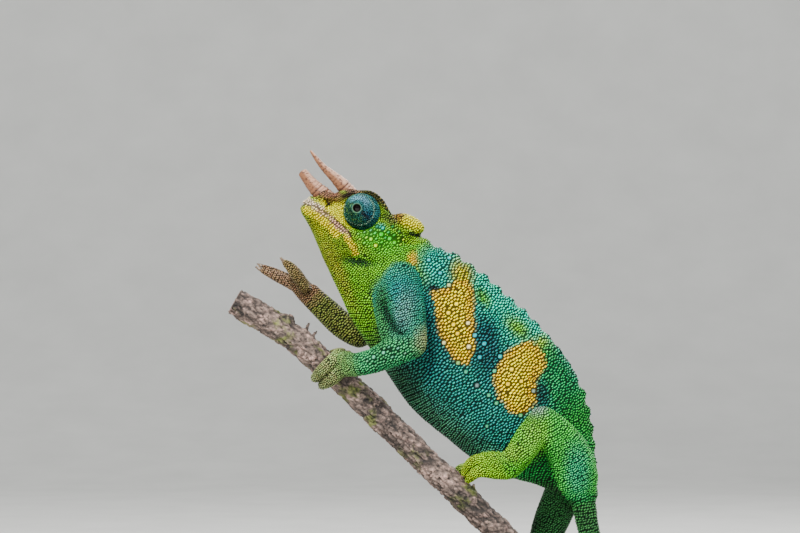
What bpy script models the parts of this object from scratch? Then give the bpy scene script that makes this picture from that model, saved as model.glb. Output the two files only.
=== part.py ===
"""A male three-horned chameleon, life size, climbing a cut branch on a plain display stand.

The animal climbs towards -X with its left side towards -Y. Its middle plane is Y = 0, the floor is
Z = 0 and the stand's centre is the origin. Every size and place in the functions is in millimetres,
measured from the stand's centre line and from the body datum, which lies DATUM_HEIGHT above the floor.
"""

import math

import bmesh
import bpy
import numpy as np
from mathutils import Matrix, Vector

MM = 0.001
GAP = 0.3
SEED = 7
HEAD_TRIANGLES, LIMB_TRIANGLES, TOE_TRIANGLES = 2000, 560, 68

DATUM_HEIGHT = 128.0
LATERAL = np.array([0.0, 1.0, 0.0])
LEFT, RIGHT = -1.0, 1.0
# Edges sharper than this stay sharp in the shading.
SHADING_ANGLE = math.radians(40)

# The snout tip, and the head's own directions: along the mouth line to the back, and up to the crown.
SNOUT = np.array([-59.3, 0.0, 64.0])
HEAD_BACK = np.array([0.8, 0.0, -0.6])
HEAD_UP = np.array([0.6, 0.0, 0.8])
HEAD_AXES = (HEAD_BACK, LATERAL, HEAD_UP)

BRANCH_RADIUS = 4.85
# The branch's centre line, as X and Z.
BRANCH_LINE = [
    (-82.0, 33.0), (-72.7, 27.7), (-60.0, 19.0), (-39.0, 0.0),
    (-16.7, -21.7), (5.7, -43.3), (21.7, -59.0), (38.7, -75.7),
]

# Each row is one cross-section of the trunk: the back's X and Z, the belly's X and Z, half the width,
# and how keeled the back and the belly are (2 is an ellipse, less is sharper).
TRUNK = [
    (-22.7, 56.0, -51.3, 44.7, 7.6, 1.9, 1.7),
    (-17.7, 53.7, -49.0, 39.7, 7.4, 1.8, 1.7),
    (-14.3, 51.0, -46.3, 34.0, 7.6, 1.8, 1.7),
    (-11.0, 49.5, -44.0, 28.7, 8.0, 1.7, 1.7),
    (-7.0, 47.3, -40.3, 22.3, 8.6, 1.7, 1.7),
    (-3.0, 44.4, -36.3, 16.3, 9.4, 1.7, 1.7),
    (1.3, 41.3, -31.7, 9.7, 10.0, 1.7, 1.7),
    (5.7, 37.6, -27.3, 3.0, 10.5, 1.7, 1.7),
    (10.3, 33.4, -22.7, -3.0, 10.8, 1.7, 1.7),
    (15.0, 29.3, -17.3, -8.0, 10.9, 1.7, 1.7),
    (20.0, 24.3, -11.3, -12.7, 10.6, 1.7, 1.7),
    (24.3, 19.4, -5.3, -17.7, 10.0, 1.7, 1.7),
    (28.3, 14.4, 1.0, -22.0, 9.2, 1.7, 1.8),
    (32.3, 7.8, 7.0, -25.0, 8.2, 1.7, 1.8),
    (35.3, -0.3, 12.7, -26.7, 7.2, 1.7, 1.9),
    (37.3, -9.3, 18.0, -28.0, 6.2, 1.8, 2.0),
    (38.3, -18.3, 23.0, -30.0, 5.4, 1.8, 2.0),
    (39.0, -26.7, 27.3, -32.0, 4.7, 1.9, 2.0),
    (39.0, -33.3, 30.3, -34.7, 4.2, 2.0, 2.0),
]
TRUNK_SIDES = 24
NECK_END, PELVIS_START, TRUNK_END = 2.6, 13.2, 18.0
RING_STEP = 3.2

# The head's cross-sections: distance behind the snout, crown, widest level and throat above the mouth
# line, and half the width.
HEAD = [
    (-0.9, 1.7, 0.6, -0.3, 1.0),
    (0.2, 3.6, 0.4, -1.3, 2.7),
    (2.2, 6.6, 0.3, -2.1, 4.0),
    (4.5, 9.7, 0.3, -3.0, 4.9),
    (7.0, 11.0, 0.5, -4.2, 5.6),
    (9.7, 13.8, 0.8, -5.8, 6.2),
    (12.5, 16.0, 1.0, -7.4, 6.8),
    (16.0, 17.2, 1.2, -9.6, 7.4),
    (19.0, 17.4, 1.2, -11.2, 7.8),
    (24.0, 16.4, 1.0, -13.7, 8.1),
    (28.0, 15.8, 0.5, -15.5, 8.0),
    (32.0, 15.4, 0.0, -17.0, 7.6),
    (35.5, 14.2, -1.0, -18.0, 6.6),
]
CROWN_KEEL, THROAT_KEEL = 2.3, 1.8
# Where the jaws part, and where the head and jaw part from the neck: distance behind the snout and level.
MOUTH_LINE = [
    (-6.0, 0.9), (0.0, 1.2), (3.0, 3.0), (6.5, 3.35), (10.4, 3.6), (14.5, 3.5),
    (18.0, 2.8), (20.7, 1.6), (22.6, 0.1), (24.05, -1.8),
]
NECK_LINE = [(44.0, 21.5), (38.0, 13.6), (31.0, 6.4), (24.2, -1.2), (21.0, -8.0), (16.0, -20.0)]
NOSTRIL, NOSTRIL_HALVES = (5.9, 6.5, 4.75), (0.9, 1.3, 0.65)
HEAD_SIDES = 28

# The eye turret's outline: distance outwards from its widest ring, and radius. The eye looks a little
# forwards, so the turret leans towards the snout by a share of that distance.
EYE_CENTRE = (16.9, 10.9, 6.3)
TURRET_LEAN = 0.42
TURRET_PROFILE = [
    (-0.4, 0.0), (-0.4, 5.75), (0.0, 6.05), (1.2, 5.9), (2.4, 5.3), (3.4, 4.5),
    (4.2, 3.5), (4.75, 2.55), (5.1, 1.95), (5.15, 1.7), (4.9, 1.55), (3.4, 1.5), (3.4, 0.0),
]
# The socket is the turret's outline grown by the gap, and open to the outside.
TURRET_SOCKET = [(-0.4 - GAP, 0.0), (-0.4 - GAP, 5.75 + GAP), (0.0, 6.05 + GAP), (9.0, 6.5), (9.0, 0.0)]
TURRET_STEPS = 22
PUPIL_RADIUS, PUPIL_HALF_DEPTH, PUPIL_PLACE = 1.2, 0.75, 4.5

# Each horn's centre line and radius: X, Y (for the left side), Z, radius.
NOSE_HORN = [
    (-50.2, 0.0, 65.9, 3.4), (-52.3, 0.0, 68.1, 3.1), (-53.8, 0.0, 69.6, 2.75), (-55.1, 0.0, 70.9, 2.4),
    (-56.6, 0.0, 72.6, 2.05), (-58.0, 0.0, 74.4, 1.8), (-59.0, 0.0, 75.8, 1.65),
]
BROW_HORN = [
    (-42.9, -2.9, 68.5, 2.4), (-44.5, -3.1, 70.2, 2.45), (-45.9, -3.3, 71.7, 2.3), (-47.2, -3.5, 73.0, 2.05),
    (-48.5, -3.8, 74.2, 1.75), (-50.2, -4.1, 75.7, 1.45), (-52.0, -4.4, 77.4, 1.15),
    (-54.2, -4.9, 80.0, 0.8), (-56.2, -5.3, 82.7, 0.4),
]
HORN_SIDES = 8
# The casque's lobe: its middle behind and above the snout, half sizes, and how far its back end is raised.
CASQUE, CASQUE_HALVES, CASQUE_TURN = (31.8, 17.3), (5.9, 4.6, 2.8), math.radians(9.6)
RING_SPACING, RING_RELIEF = 1.9, 0.07

# The tail's centre line and radius down to where it begins to curl: X, Z, radius.
TAIL = [
    (34.75, -34.4, 4.25), (35.6, -40.5, 3.85), (37.8, -49.0, 3.55), (41.4, -58.2, 3.3),
    (45.6, -67.5, 3.1), (49.3, -77.5, 2.95), (51.0, -89.0, 2.8),
]
CURL_CENTRE, CURL_RADIUS, CURL_TIGHTENING, CURL_TURNS = (37.3, -101.5), 13.7, 0.085, 1.7
CURL_LEAN, CURL_ROWS, TAIL_TIP = -0.45, 14, 0.75
TAIL_SIDES = 9
TAIL_LENGTHS = 7

# Where each foot holds the branch, as X along it.
LEFT_HAND_GRIP, LEFT_FOOT_GRIP, RIGHT_FOOT_GRIP = -49.7, -9.0, 31.7

BASE_LENGTH, BASE_WIDTH, BASE_THICKNESS, BASE_ROUND = 158.0, 96.0, 8.0, 1.2
ROD_RADIUS, ROD_PLACE = 3.0, 6.7
COLLAR_RADIUS, COLLAR_HEIGHT = 7.5, 5.0

# Crest lobes along the back: their spacing and half sizes along, across and above it.
LOBE_SPACING = 6.1
LOBE_HALF_LENGTH, LOBE_HALF_WIDTH, LOBE_HALF_HEIGHT = 3.1, 1.5, 1.5
LOBE_SINK = 0.7

COLOURS = {
    "skin_teal": ((0.02, 0.28, 0.24), 0.55, 0.0),
    "skin_green": ((0.14, 0.36, 0.05), 0.55, 0.0),
    "skin_lime": ((0.30, 0.42, 0.03), 0.55, 0.0),
    "turret": ((0.03, 0.22, 0.24), 0.5, 0.0),
    "horn": ((0.48, 0.33, 0.26), 0.6, 0.0),
    "eye": ((0.01, 0.01, 0.012), 0.08, 0.0),
    "bark": ((0.22, 0.16, 0.12), 0.85, 0.0),
    "stand_wood": ((0.16, 0.09, 0.05), 0.45, 0.0),
    "stand_steel": ((0.55, 0.55, 0.56), 0.3, 1.0),
}


def clear_scene():
    for old in list(bpy.data.objects):
        bpy.data.objects.remove(old, do_unlink=True)


def material(name):
    colour, roughness, metallic = COLOURS[name]
    made = bpy.data.materials.get(name) or bpy.data.materials.new(name)
    made.use_nodes = True
    shader = made.node_tree.nodes["Principled BSDF"]
    shader.inputs["Base Color"].default_value = (*colour, 1.0)
    shader.inputs["Roughness"].default_value = roughness
    shader.inputs["Metallic"].default_value = metallic
    return made


def group(name):
    made = bpy.data.collections.new(name)
    bpy.context.scene.collection.children.link(made)
    return made


def world(point):
    """A place in millimetres from the datum, as metres above the floor."""
    return Vector((point[0] * MM, point[1] * MM, (point[2] + DATUM_HEIGHT) * MM))


def object_from(name, bm):
    """A closed object from a bmesh whose places are in millimetres from the datum."""
    bmesh.ops.recalc_face_normals(bm, faces=bm.faces[:])
    if bm.calc_volume(signed=True) < 0:
        bmesh.ops.reverse_faces(bm, faces=bm.faces[:])
    for vertex in bm.verts:
        vertex.co = world(vertex.co)
    mesh = bpy.data.meshes.new(name)
    bm.to_mesh(mesh)
    bm.free()
    made = bpy.data.objects.new(name, mesh)
    WORKSHOP.objects.link(made)
    return made


def bake(obj):
    """Applies the object's modifiers to its mesh."""
    bpy.context.view_layer.update()
    graph = bpy.context.evaluated_depsgraph_get()
    mesh = bpy.data.meshes.new_from_object(obj.evaluated_get(graph), depsgraph=graph)
    obj.modifiers.clear()
    obj.data = mesh
    return obj


def finish(obj, surface):
    """Names the material, shades the round faces smooth and shows the object as a part of the model."""
    obj.data.materials.clear()
    obj.data.materials.append(material(surface))
    obj.data.shade_smooth()
    obj.data.set_sharp_from_angle(angle=SHADING_ANGLE)
    WORKSHOP.objects.unlink(obj)
    MODEL.objects.link(obj)
    return obj


def unit(vector):
    return vector / np.linalg.norm(vector)


def distances(rows, along=3):
    """How far each row is from the first, along the line through them."""
    steps = np.linalg.norm(np.diff(rows[:, :along], axis=0), axis=1)
    return np.concatenate([[0], np.cumsum(steps)])


def smooth_rows(rows, step=None, at=None, along=3):
    """Rows read from a smooth curve through the given ones: one step apart, or at given row numbers."""
    rows = np.array(rows, float)
    if at is None:
        knots = distances(rows, along)
        at = np.linspace(0, knots[-1], max(3, round(knots[-1] / step) + 1))
    else:
        knots = np.arange(len(rows), dtype=float)
    slopes = np.gradient(rows, knots, axis=0)
    i = np.clip(np.searchsorted(knots, at, "right") - 1, 0, len(knots) - 2)
    h = (knots[i + 1] - knots[i])[:, None]
    t = ((at - knots[i]) / h[:, 0])[:, None]
    return (
        (2 * t**3 - 3 * t**2 + 1) * rows[i]
        + (t**3 - 2 * t**2 + t) * h * slopes[i]
        + (3 * t**2 - 2 * t**3) * rows[i + 1]
        + (t**3 - t**2) * h * slopes[i + 1]
    )


def loft(name, rings):
    """A closed body through rings of points, with flat ends."""
    bm = bmesh.new()
    made = [[bm.verts.new(point) for point in ring] for ring in rings]
    sides = len(made[0])
    for low, high in zip(made, made[1:]):
        for k in range(sides):
            bm.faces.new((low[k], low[(k + 1) % sides], high[(k + 1) % sides], high[k]))
    bm.faces.new(made[0])
    bm.faces.new(made[-1])
    return object_from(name, bm)


def tube(name, rows, sides=10, across=LATERAL, step=2.0, start_round=True, end_round=True, ribs=None):
    """A body of elliptical section along a smooth line.

    A row is X, Y, Z and the radii in and across the line's plane, or one radius for both.
    ribs, where given, is a function of the distance along the line that scales the radius."""
    given = np.array([(*row, row[-1]) if len(row) == 4 else tuple(row) for row in rows], float)
    rows = smooth_rows(given, step)
    places = rows[:, :3]
    tangents = np.gradient(places, axis=0)
    tangents[0], tangents[-1] = given[1, :3] - given[0, :3], given[-1, :3] - given[-2, :3]
    travelled = distances(rows)
    rings = []
    for place, tangent, radii, distance in zip(places, tangents, rows[:, 3:], travelled):
        tangent = unit(tangent)
        side = unit(across - tangent * (across @ tangent))
        rise = np.cross(tangent, side)
        scale = ribs(distance) if ribs else 1.0
        rings.append((place, tangent, rise * radii[0] * scale, side * radii[1] * scale))
    ends = [(rings[0], -1.0)] * start_round + [(rings[-1], 1.0)] * end_round
    for (place, tangent, rise, side), sign in ends:
        reach = np.linalg.norm(rise)
        more = [
            (place + tangent * sign * reach * math.sin(angle), tangent, rise * math.cos(angle),
             side * math.cos(angle))
            for angle in (math.radians(40), math.radians(72))
        ]
        rings = rings + more if sign > 0 else more[::-1] + rings
    turns = np.arange(sides) * 2 * math.pi / sides
    return loft(name, [[p + r * math.sin(a) + s * math.cos(a) for a in turns] for p, _, r, s in rings])


def ellipsoid(name, centre, halves, axes=None, segments=12, rings=8):
    """A ball stretched to its half sizes along the given axes, or along X, Y and Z."""
    bm = bmesh.new()
    bmesh.ops.create_uvsphere(bm, u_segments=segments, v_segments=rings, radius=1.0)
    turn = np.array(axes if axes is not None else np.eye(3)).T
    for vertex in bm.verts:
        vertex.co = Vector(np.array(centre) + turn @ (np.array(vertex.co) * np.array(halves)))
    return object_from(name, bm)


def turned(name, profile, base, axis, steps, lean=(0.0, 0.0, 0.0)):
    """A body turned about an axis from a profile of distances along it and radii.

    Beyond distance 0 it leans sideways by the given share of the distance."""
    bm = bmesh.new()
    verts = [bm.verts.new((radius, 0.0, along)) for along, radius in profile]
    edges = [bm.edges.new(pair) for pair in zip(verts, verts[1:])]
    bmesh.ops.spin(
        bm, geom=verts + edges, cent=(0, 0, 0), axis=(0, 0, 1), angle=2 * math.pi, steps=steps,
        use_merge=True, use_duplicate=False,
    )
    bmesh.ops.remove_doubles(bm, verts=bm.verts[:], dist=1e-4)
    turn = Vector((0, 0, 1)).rotation_difference(Vector(axis)).to_matrix()
    for vertex in bm.verts:
        vertex.co = Vector(base) + turn @ vertex.co + Vector(lean) * max(0.0, vertex.co.z)
    return object_from(name, bm)


def joined(name, pieces):
    """One object that holds all the pieces' faces, still as separate shells."""
    bm = bmesh.new()
    for piece in pieces:
        bm.from_mesh(piece.data)
        bpy.data.objects.remove(piece, do_unlink=True)
    mesh = bpy.data.meshes.new(name)
    bm.to_mesh(mesh)
    bm.free()
    made = bpy.data.objects.new(name, mesh)
    WORKSHOP.objects.link(made)
    return made


def fused(name, pieces, voxel, smoothing, triangles):
    """One skin over overlapping pieces, smoothed as flesh is, and thinned to about so many triangles."""
    made = joined(name, pieces)
    remesh = made.modifiers.new("skin", "REMESH")
    remesh.mode = "VOXEL"
    remesh.voxel_size = voxel * MM
    relax = made.modifiers.new("flesh", "SMOOTH")
    relax.factor = 0.5
    relax.iterations = smoothing
    bake(made)
    made.data.calc_loop_triangles()
    thin = made.modifiers.new("thin", "DECIMATE")
    thin.ratio = min(1.0, triangles / len(made.data.loop_triangles))
    return bake(made)


def boolean(obj, others, operation, solver="EXACT"):
    """Joins the others to the object or cuts them from it, and removes them."""
    tools = bpy.data.collections.new("tools")
    bpy.context.scene.collection.children.link(tools)
    for other in others:
        tools.objects.link(other)
    modifier = obj.modifiers.new(operation.lower(), "BOOLEAN")
    modifier.operation = operation
    modifier.operand_type = "COLLECTION"
    modifier.collection = tools
    modifier.solver = solver
    bake(obj)
    for other in others:
        bpy.data.objects.remove(other, do_unlink=True)
    bpy.data.collections.remove(tools)
    return obj


def islands(obj):
    """The separate closed surfaces of an object, each as a set of vertex numbers."""
    bm = bmesh.new()
    bm.from_mesh(obj.data)
    seen, found = set(), []
    for start in bm.verts:
        if start in seen:
            continue
        body, front = {start}, [start]
        while front:
            for edge in front.pop().link_edges:
                for vertex in edge.verts:
                    if vertex not in body:
                        body.add(vertex)
                        front.append(vertex)
        seen |= body
        found.append({vertex.index for vertex in body})
    bm.free()
    return found


def part_into(obj, seeds, surfaces):
    """Makes a node of each seed: the largest closed surface whose middle is nearest that seed's place."""
    places = np.array([v.co for v in obj.data.vertices])
    names = list(seeds)
    targets = np.array([world(seeds[name]) for name in names])
    best = {}
    for body in islands(obj):
        middle = places[sorted(body)].mean(axis=0)
        name = names[int(np.argmin(np.linalg.norm(targets - middle, axis=1)))]
        if len(body) > len(best.get(name, ())):
            best[name] = body
    for name in names:
        bm = bmesh.new()
        bm.from_mesh(obj.data)
        bm.verts.ensure_lookup_table()
        rest = [vertex for vertex in bm.verts if vertex.index not in best[name]]
        bmesh.ops.delete(bm, geom=rest, context="VERTS")
        mesh = bpy.data.meshes.new(name)
        bm.to_mesh(mesh)
        bm.free()
        made = bpy.data.objects.new(name, mesh)
        WORKSHOP.objects.link(made)
        finish(made, surfaces[name] if isinstance(surfaces, dict) else surfaces)
    bpy.data.objects.remove(obj, do_unlink=True)


def slab(point, normal, width, thickness=GAP):
    """A square cutter, by default as thin as the gap between two nodes."""
    bm = bmesh.new()
    bmesh.ops.create_cube(bm, size=1.0)
    turn = Vector((0, 0, 1)).rotation_difference(Vector(normal)).to_matrix().to_4x4()
    size = Matrix.Diagonal((width, width, thickness, 1.0))
    bmesh.ops.transform(bm, matrix=Matrix.Translation(Vector(point)) @ turn @ size, verts=bm.verts[:])
    return object_from("slab", bm)


def in_head(back, up, lateral=0.0):
    return SNOUT + HEAD_BACK * back + HEAD_UP * up + LATERAL * lateral


def strip_cutter(points, half_width):
    """A cutter as thin as the gap, along a line in the head's middle plane and right across it."""
    bm = bmesh.new()
    rows = smooth_rows([(back, 0.0, up) for back, up in points], step=2.5)
    along = np.gradient(rows, axis=0)
    rings = []
    for row, tangent in zip(rows, along):
        normal = unit(np.array([-tangent[2], 0.0, tangent[0]])) * GAP / 2
        rings.append([
            bm.verts.new(in_head(place[0], place[2], lateral))
            for place, lateral in (
                (row + normal, -half_width), (row + normal, half_width),
                (row - normal, half_width), (row - normal, -half_width),
            )
        ])
    for low, high in zip(rings, rings[1:]):
        for k in range(4):
            bm.faces.new((low[k], low[(k + 1) % 4], high[(k + 1) % 4], high[k]))
    bm.faces.new(rings[0])
    bm.faces.new(rings[-1])
    return object_from("strip", bm)


def half_power(value, keel):
    return np.sign(value) * np.abs(value) ** (2.0 / keel)


def section(centre, up, rise, fall, width, top_keel, bottom_keel, sides):
    """A ring that is widest at its centre and keeled above and below it."""
    ring = []
    for angle in np.arange(sides) * 2 * math.pi / sides:
        across, above = math.cos(angle), math.sin(angle)
        height, keel = (rise, top_keel) if above >= 0 else (fall, bottom_keel)
        raised, sideways = height * half_power(above, keel), width * half_power(across, keel)
        ring.append(centre + up * raised + LATERAL * sideways)
    return ring


def trunk_ring(row, grow=0.0):
    back, belly = np.array([row[0], 0.0, row[1]]), np.array([row[2], 0.0, row[3]])
    up = unit(back - belly)
    half = np.linalg.norm(back - belly) / 2 + grow
    return section((back + belly) / 2, up, half, half, row[4] + grow, row[5], row[6], TRUNK_SIDES)


def trunk_between(name, first, last, grow=0.0):
    """The trunk's body between two cross-section numbers."""
    ends = smooth_rows(TRUNK, at=np.array([first, last]))
    length = np.linalg.norm((ends[1, 0:4] - ends[0, 0:4])) / math.sqrt(2)
    count = max(3, round(length / RING_STEP) + 1)
    rows = smooth_rows(TRUNK, at=np.linspace(first, last, count))
    return loft(name, [trunk_ring(row, grow) for row in rows])


def section_gap(at):
    """How much of a cross-section number half the gap is, at that number."""
    here, after = smooth_rows(TRUNK, at=np.array([at, at + 0.1]))
    middle = (after[0:2] + after[2:4] - here[0:2] - here[2:4]) / 2
    return 0.1 * GAP / 2 / np.linalg.norm(middle)


def crest_lobes(first, last):
    """Low rounded lobes along the back between two cross-section numbers, larger over the shoulders."""
    fine = smooth_rows(TRUNK, at=np.linspace(first, last, 60))
    line = fine[:, 0:2]
    travelled = distances(line, 2)
    count = int((travelled[-1] - 2 * LOBE_HALF_LENGTH) / LOBE_SPACING) + 1
    spare = travelled[-1] - (count - 1) * LOBE_SPACING
    lobes = []
    for k in range(count):
        at = spare / 2 + k * LOBE_SPACING
        place = np.array([np.interp(at, travelled, column) for column in line.T])
        ahead = np.array([np.interp(at + 1, travelled, column) for column in line.T])
        along = unit(ahead - place)
        forward, above = np.array([along[0], 0, along[1]]), np.array([-along[1], 0, along[0]])
        size = 1.0 - 0.25 * k / max(1, count - 1)
        size *= 1.0 + 0.08 * RANDOM.uniform(-1, 1)
        centre = np.array([place[0], 0, place[1]]) - above * LOBE_SINK
        halves = (LOBE_HALF_LENGTH, LOBE_HALF_WIDTH * size, LOBE_HALF_HEIGHT * size)
        lobes.append(ellipsoid("lobe", centre, halves, (forward, LATERAL, above), 8, 6))
    return lobes


def torso_and_pelvis():
    for name, first, last, surface in (
        ("torso", NECK_END, PELVIS_START, "skin_teal"),
        ("pelvis", PELVIS_START, TRUNK_END, "skin_green"),
    ):
        start = first + section_gap(first)
        end = last - section_gap(last)
        body = trunk_between(name, start, end)
        finish(boolean(body, crest_lobes(start, end), "UNION"), surface)


def head_loft():
    rows = smooth_rows(HEAD, step=1.8, along=1)
    rings = [
        section(in_head(back, widest), HEAD_UP, crown - widest, widest - throat, width,
                CROWN_KEEL, THROAT_KEEL, HEAD_SIDES)
        for back, crown, widest, throat, width in rows
    ]
    return loft("head_core", rings)


def head_tube(name, points, step=1.6, sides=8):
    """A ridge on the head. A point is back, up, sideways and radius."""
    return tube(name, [(*in_head(*point[:3]), point[3]) for point in points], sides, step=step)


def head_ridges(side):
    """The brow, cheek and lip ridges of one side."""
    s = side
    brow = head_tube("brow", [
        (3.4, 7.6, 2.6 * s, 1.2), (6.4, 9.5, 4.3 * s, 1.3), (8.5, 11.0, 5.0 * s, 1.3),
        (10.8, 13.6, 5.5 * s, 1.3), (12.6, 15.6, 5.7 * s, 1.3), (15.0, 17.3, 5.9 * s, 1.3), (19.5, 17.5, 5.8 * s, 1.35), (24.0, 15.6, 5.6 * s, 1.25),
        (28.0, 14.4, 5.4 * s, 1.2),
    ])
    temple = head_tube("temple", [
        (23.5, 11.2, 6.3 * s, 1.5), (28.0, 11.8, 6.3 * s, 1.7), (32.5, 13.0, 5.4 * s, 1.8),
        (36.2, 14.2, 3.4 * s, 1.6),
    ])
    upper_lip = head_tube("upper_lip", [
        (-0.6, 2.2, 0.0, 0.9), (0.9, 3.2, 2.8 * s, 0.85), (4.0, 4.2, 4.3 * s, 0.85),
        (9.0, 4.6, 5.6 * s, 0.85), (15.0, 4.4, 6.8 * s, 0.85), (20.5, 2.7, 7.6 * s, 0.85),
        (23.4, 0.3, 7.9 * s, 0.7),
    ])
    lower_lip = head_tube("lower_lip", [
        (-0.1, 0.1, 0.0, 0.8), (1.2, 0.9, 2.8 * s, 0.85), (5.0, 2.0, 4.9 * s, 0.9),
        (11.0, 2.2, 6.3 * s, 0.95), (17.0, 1.6, 7.3 * s, 0.95), (20.8, -0.2, 7.8 * s, 0.85),
        (22.6, -2.2, 7.9 * s, 0.75),
    ])
    jaw_muscle = ellipsoid("jaw_muscle", in_head(25.0, 5.0, 5.3 * s), (6.0, 3.3, 6.5), HEAD_AXES)
    return [brow, temple, upper_lip, lower_lip, jaw_muscle]


def eye_turned(name, profile, side):
    back, up, lateral = EYE_CENTRE
    centre = in_head(back, up, lateral * side)
    return turned(name, profile, centre, LATERAL * side, TURRET_STEPS, -HEAD_BACK * TURRET_LEAN)


def horn(name, rows, side, grow=0.0):
    """A horn with raised rings that fade towards its tip."""
    length = sum(math.dist(a[:3], b[:3]) for a, b in zip(rows, rows[1:]))

    def ribs(distance):
        fade = max(0.0, 1.0 - distance / length)
        return 1.0 + RING_RELIEF * math.sqrt(fade) * math.cos(2 * math.pi * distance / RING_SPACING)

    placed = [(x, -y * side, z, radius + grow) for x, y, z, radius in rows]
    return tube(name, placed, HORN_SIDES, step=RING_SPACING / 2, start_round=False, ribs=ribs)


def beyond_neck():
    """A cutter that takes all of the flesh beyond the neck's end."""
    row = smooth_rows(TRUNK, at=np.array([NECK_END]))[0]
    middle = np.array([row[0] + row[2], 0.0, row[1] + row[3]]) / 2
    up = unit(np.array([row[0] - row[2], 0.0, row[1] - row[3]]))
    normal = np.array([up[2], 0.0, -up[0]])
    thickness = 16.0
    return slab(middle + normal * (thickness - GAP) / 2, normal, 60.0, thickness)


def head():
    along = HEAD_BACK * math.cos(CASQUE_TURN) + HEAD_UP * math.sin(CASQUE_TURN)
    above = HEAD_UP * math.cos(CASQUE_TURN) - HEAD_BACK * math.sin(CASQUE_TURN)
    casque = ellipsoid("casque", in_head(*CASQUE), CASQUE_HALVES, (along, LATERAL, above), 16, 10)
    nose_boss = ellipsoid("nose_boss", in_head(4.4, 7.4), (3.8, 3.4, 2.9), HEAD_AXES)
    neck = trunk_between("neck_core", 0.0, NECK_END + 1.2)
    pieces = [head_loft(), casque, nose_boss, neck, *head_ridges(LEFT), *head_ridges(RIGHT)]
    flesh = fused("head_flesh", pieces, voxel=0.62, smoothing=2, triangles=HEAD_TRIANGLES)
    cutters = [
        strip_cutter(MOUTH_LINE, 14.0),
        strip_cutter(NECK_LINE, 16.0),
        beyond_neck(),
    ]
    for side in (LEFT, RIGHT):
        cutters.append(eye_turned("socket", TURRET_SOCKET, side))
        cutters.append(horn("root", BROW_HORN[:4], side, GAP))
        back, up, lateral = NOSTRIL
        cutters.append(ellipsoid("nostril", in_head(back, up, lateral * side), NOSTRIL_HALVES, HEAD_AXES))
    cutters.append(horn("root", NOSE_HORN[:4], LEFT, GAP))
    boolean(flesh, cutters, "DIFFERENCE")
    seeds = {"head": in_head(20.0, 9.0), "lower_jaw": in_head(14.0, -4.0), "neck": in_head(30.0, -5.0)}
    part_into(flesh, seeds, "skin_lime")


def eyes():
    back, up, lateral = EYE_CENTRE
    halves = (PUPIL_RADIUS, PUPIL_HALF_DEPTH, PUPIL_RADIUS)
    for side, name in ((LEFT, "left"), (RIGHT, "right")):
        finish(eye_turned(f"{name}_eye_turret", TURRET_PROFILE, side), "turret")
        place = in_head(back - TURRET_LEAN * PUPIL_PLACE, up, (lateral + PUPIL_PLACE) * side)
        finish(ellipsoid(f"{name}_eye", place, halves, None, 10, 6), "eye")


def horns():
    finish(horn("nose_horn", NOSE_HORN, LEFT), "horn")
    finish(horn("left_brow_horn", BROW_HORN, LEFT), "horn")
    finish(horn("right_brow_horn", BROW_HORN, RIGHT), "horn")


def branch_rows(grow=0.0):
    """The branch's centre line and radius, a little uneven as grown wood is."""
    rows = smooth_rows([(x, 0.0, z) for x, z in BRANCH_LINE], step=3.6)
    bumps = np.random.default_rng(SEED).uniform(-1, 1, len(rows))
    even = (bumps + np.roll(bumps, 1) + np.roll(bumps, -1)) / 3
    return [(*row, BRANCH_RADIUS * (1 + 0.045 * bump) + grow) for row, bump in zip(rows, even)]


def branch_tube(name, grow=0.0):
    return tube(name, branch_rows(grow), 12, step=6.5, start_round=False, end_round=False)


def branch():
    wood = branch_tube("branch")
    knots = [
        ellipsoid("knot", (-64.4, -0.6, 26.6), (3.4, 2.9, 2.6), None, 10, 8),
        ellipsoid("knot", (-17.5, 2.2, -17.8), (2.6, 2.4, 2.2), None, 10, 8),
        tube("stub", [(-30.5, 2.5, -10.0, 1.7), (-29.0, 5.5, -9.3, 1.4), (-28.0, 8.2, -8.2, 1.2)], 8,
             across=np.array([0.0, 0.0, 1.0]), step=1.5, end_round=False),
    ]
    finish(boolean(wood, knots, "UNION"), "bark")


def on_branch(at, turn, lift, along=0.0):
    """A place round the branch: 0 degrees is its upper side, 90 the animal's left and -90 its right."""
    line = smooth_rows([(x, 0.0, z) for x, z in BRANCH_LINE], step=1.0)
    i = int(np.argmin(np.abs(line[:, 0] - at)))
    tangent = unit(line[i + 1] - line[i - 1])
    upper = np.array([-tangent[2], 0.0, tangent[0]])
    angle = math.radians(turn)
    out = upper * math.cos(angle) - LATERAL * math.sin(angle)
    return line[i] + tangent * along + out * (BRANCH_RADIUS + lift)


def branch_direction(at):
    return unit(on_branch(at + 2.0, 0, 0) - on_branch(at - 2.0, 0, 0))


def curled_toe(grip, turns, radii, along):
    """A toe's line round the branch: one row for each turn angle."""
    rows = []
    for k, (turn, radius) in enumerate(zip(turns, radii)):
        share = k / (len(turns) - 1)
        shift = along[0] + (along[1] - along[0]) * share
        rows.append((*on_branch(grip, turn, radius + 0.15, shift), radius))
    return rows


def claw(rows, across):
    """A small pointed claw beyond the end of a toe's line."""
    last, before = np.array(rows[-1][:3]), np.array(rows[-2][:3])
    ahead = unit(last - before)
    radius = rows[-1][3]
    tip = last + ahead * (radius * 0.55 + 1.75)
    root = last + ahead * radius * 0.2
    line = [(*root, 0.72), (*((root + tip) / 2), 0.55), (*tip, 0.16)]
    return tube("claw", line, 6, across, step=1.3, start_round=False, end_round=False)


def copied(obj):
    made = obj.copy()
    made.data = obj.data.copy()
    return made


def grown(obj):
    """A copy of an object, larger by the gap all round."""
    made = copied(obj)
    WORKSHOP.objects.link(made)
    swell = made.modifiers.new("gap", "DISPLACE")
    swell.strength = GAP * MM
    swell.mid_level = 0.0
    return bake(made)


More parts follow.
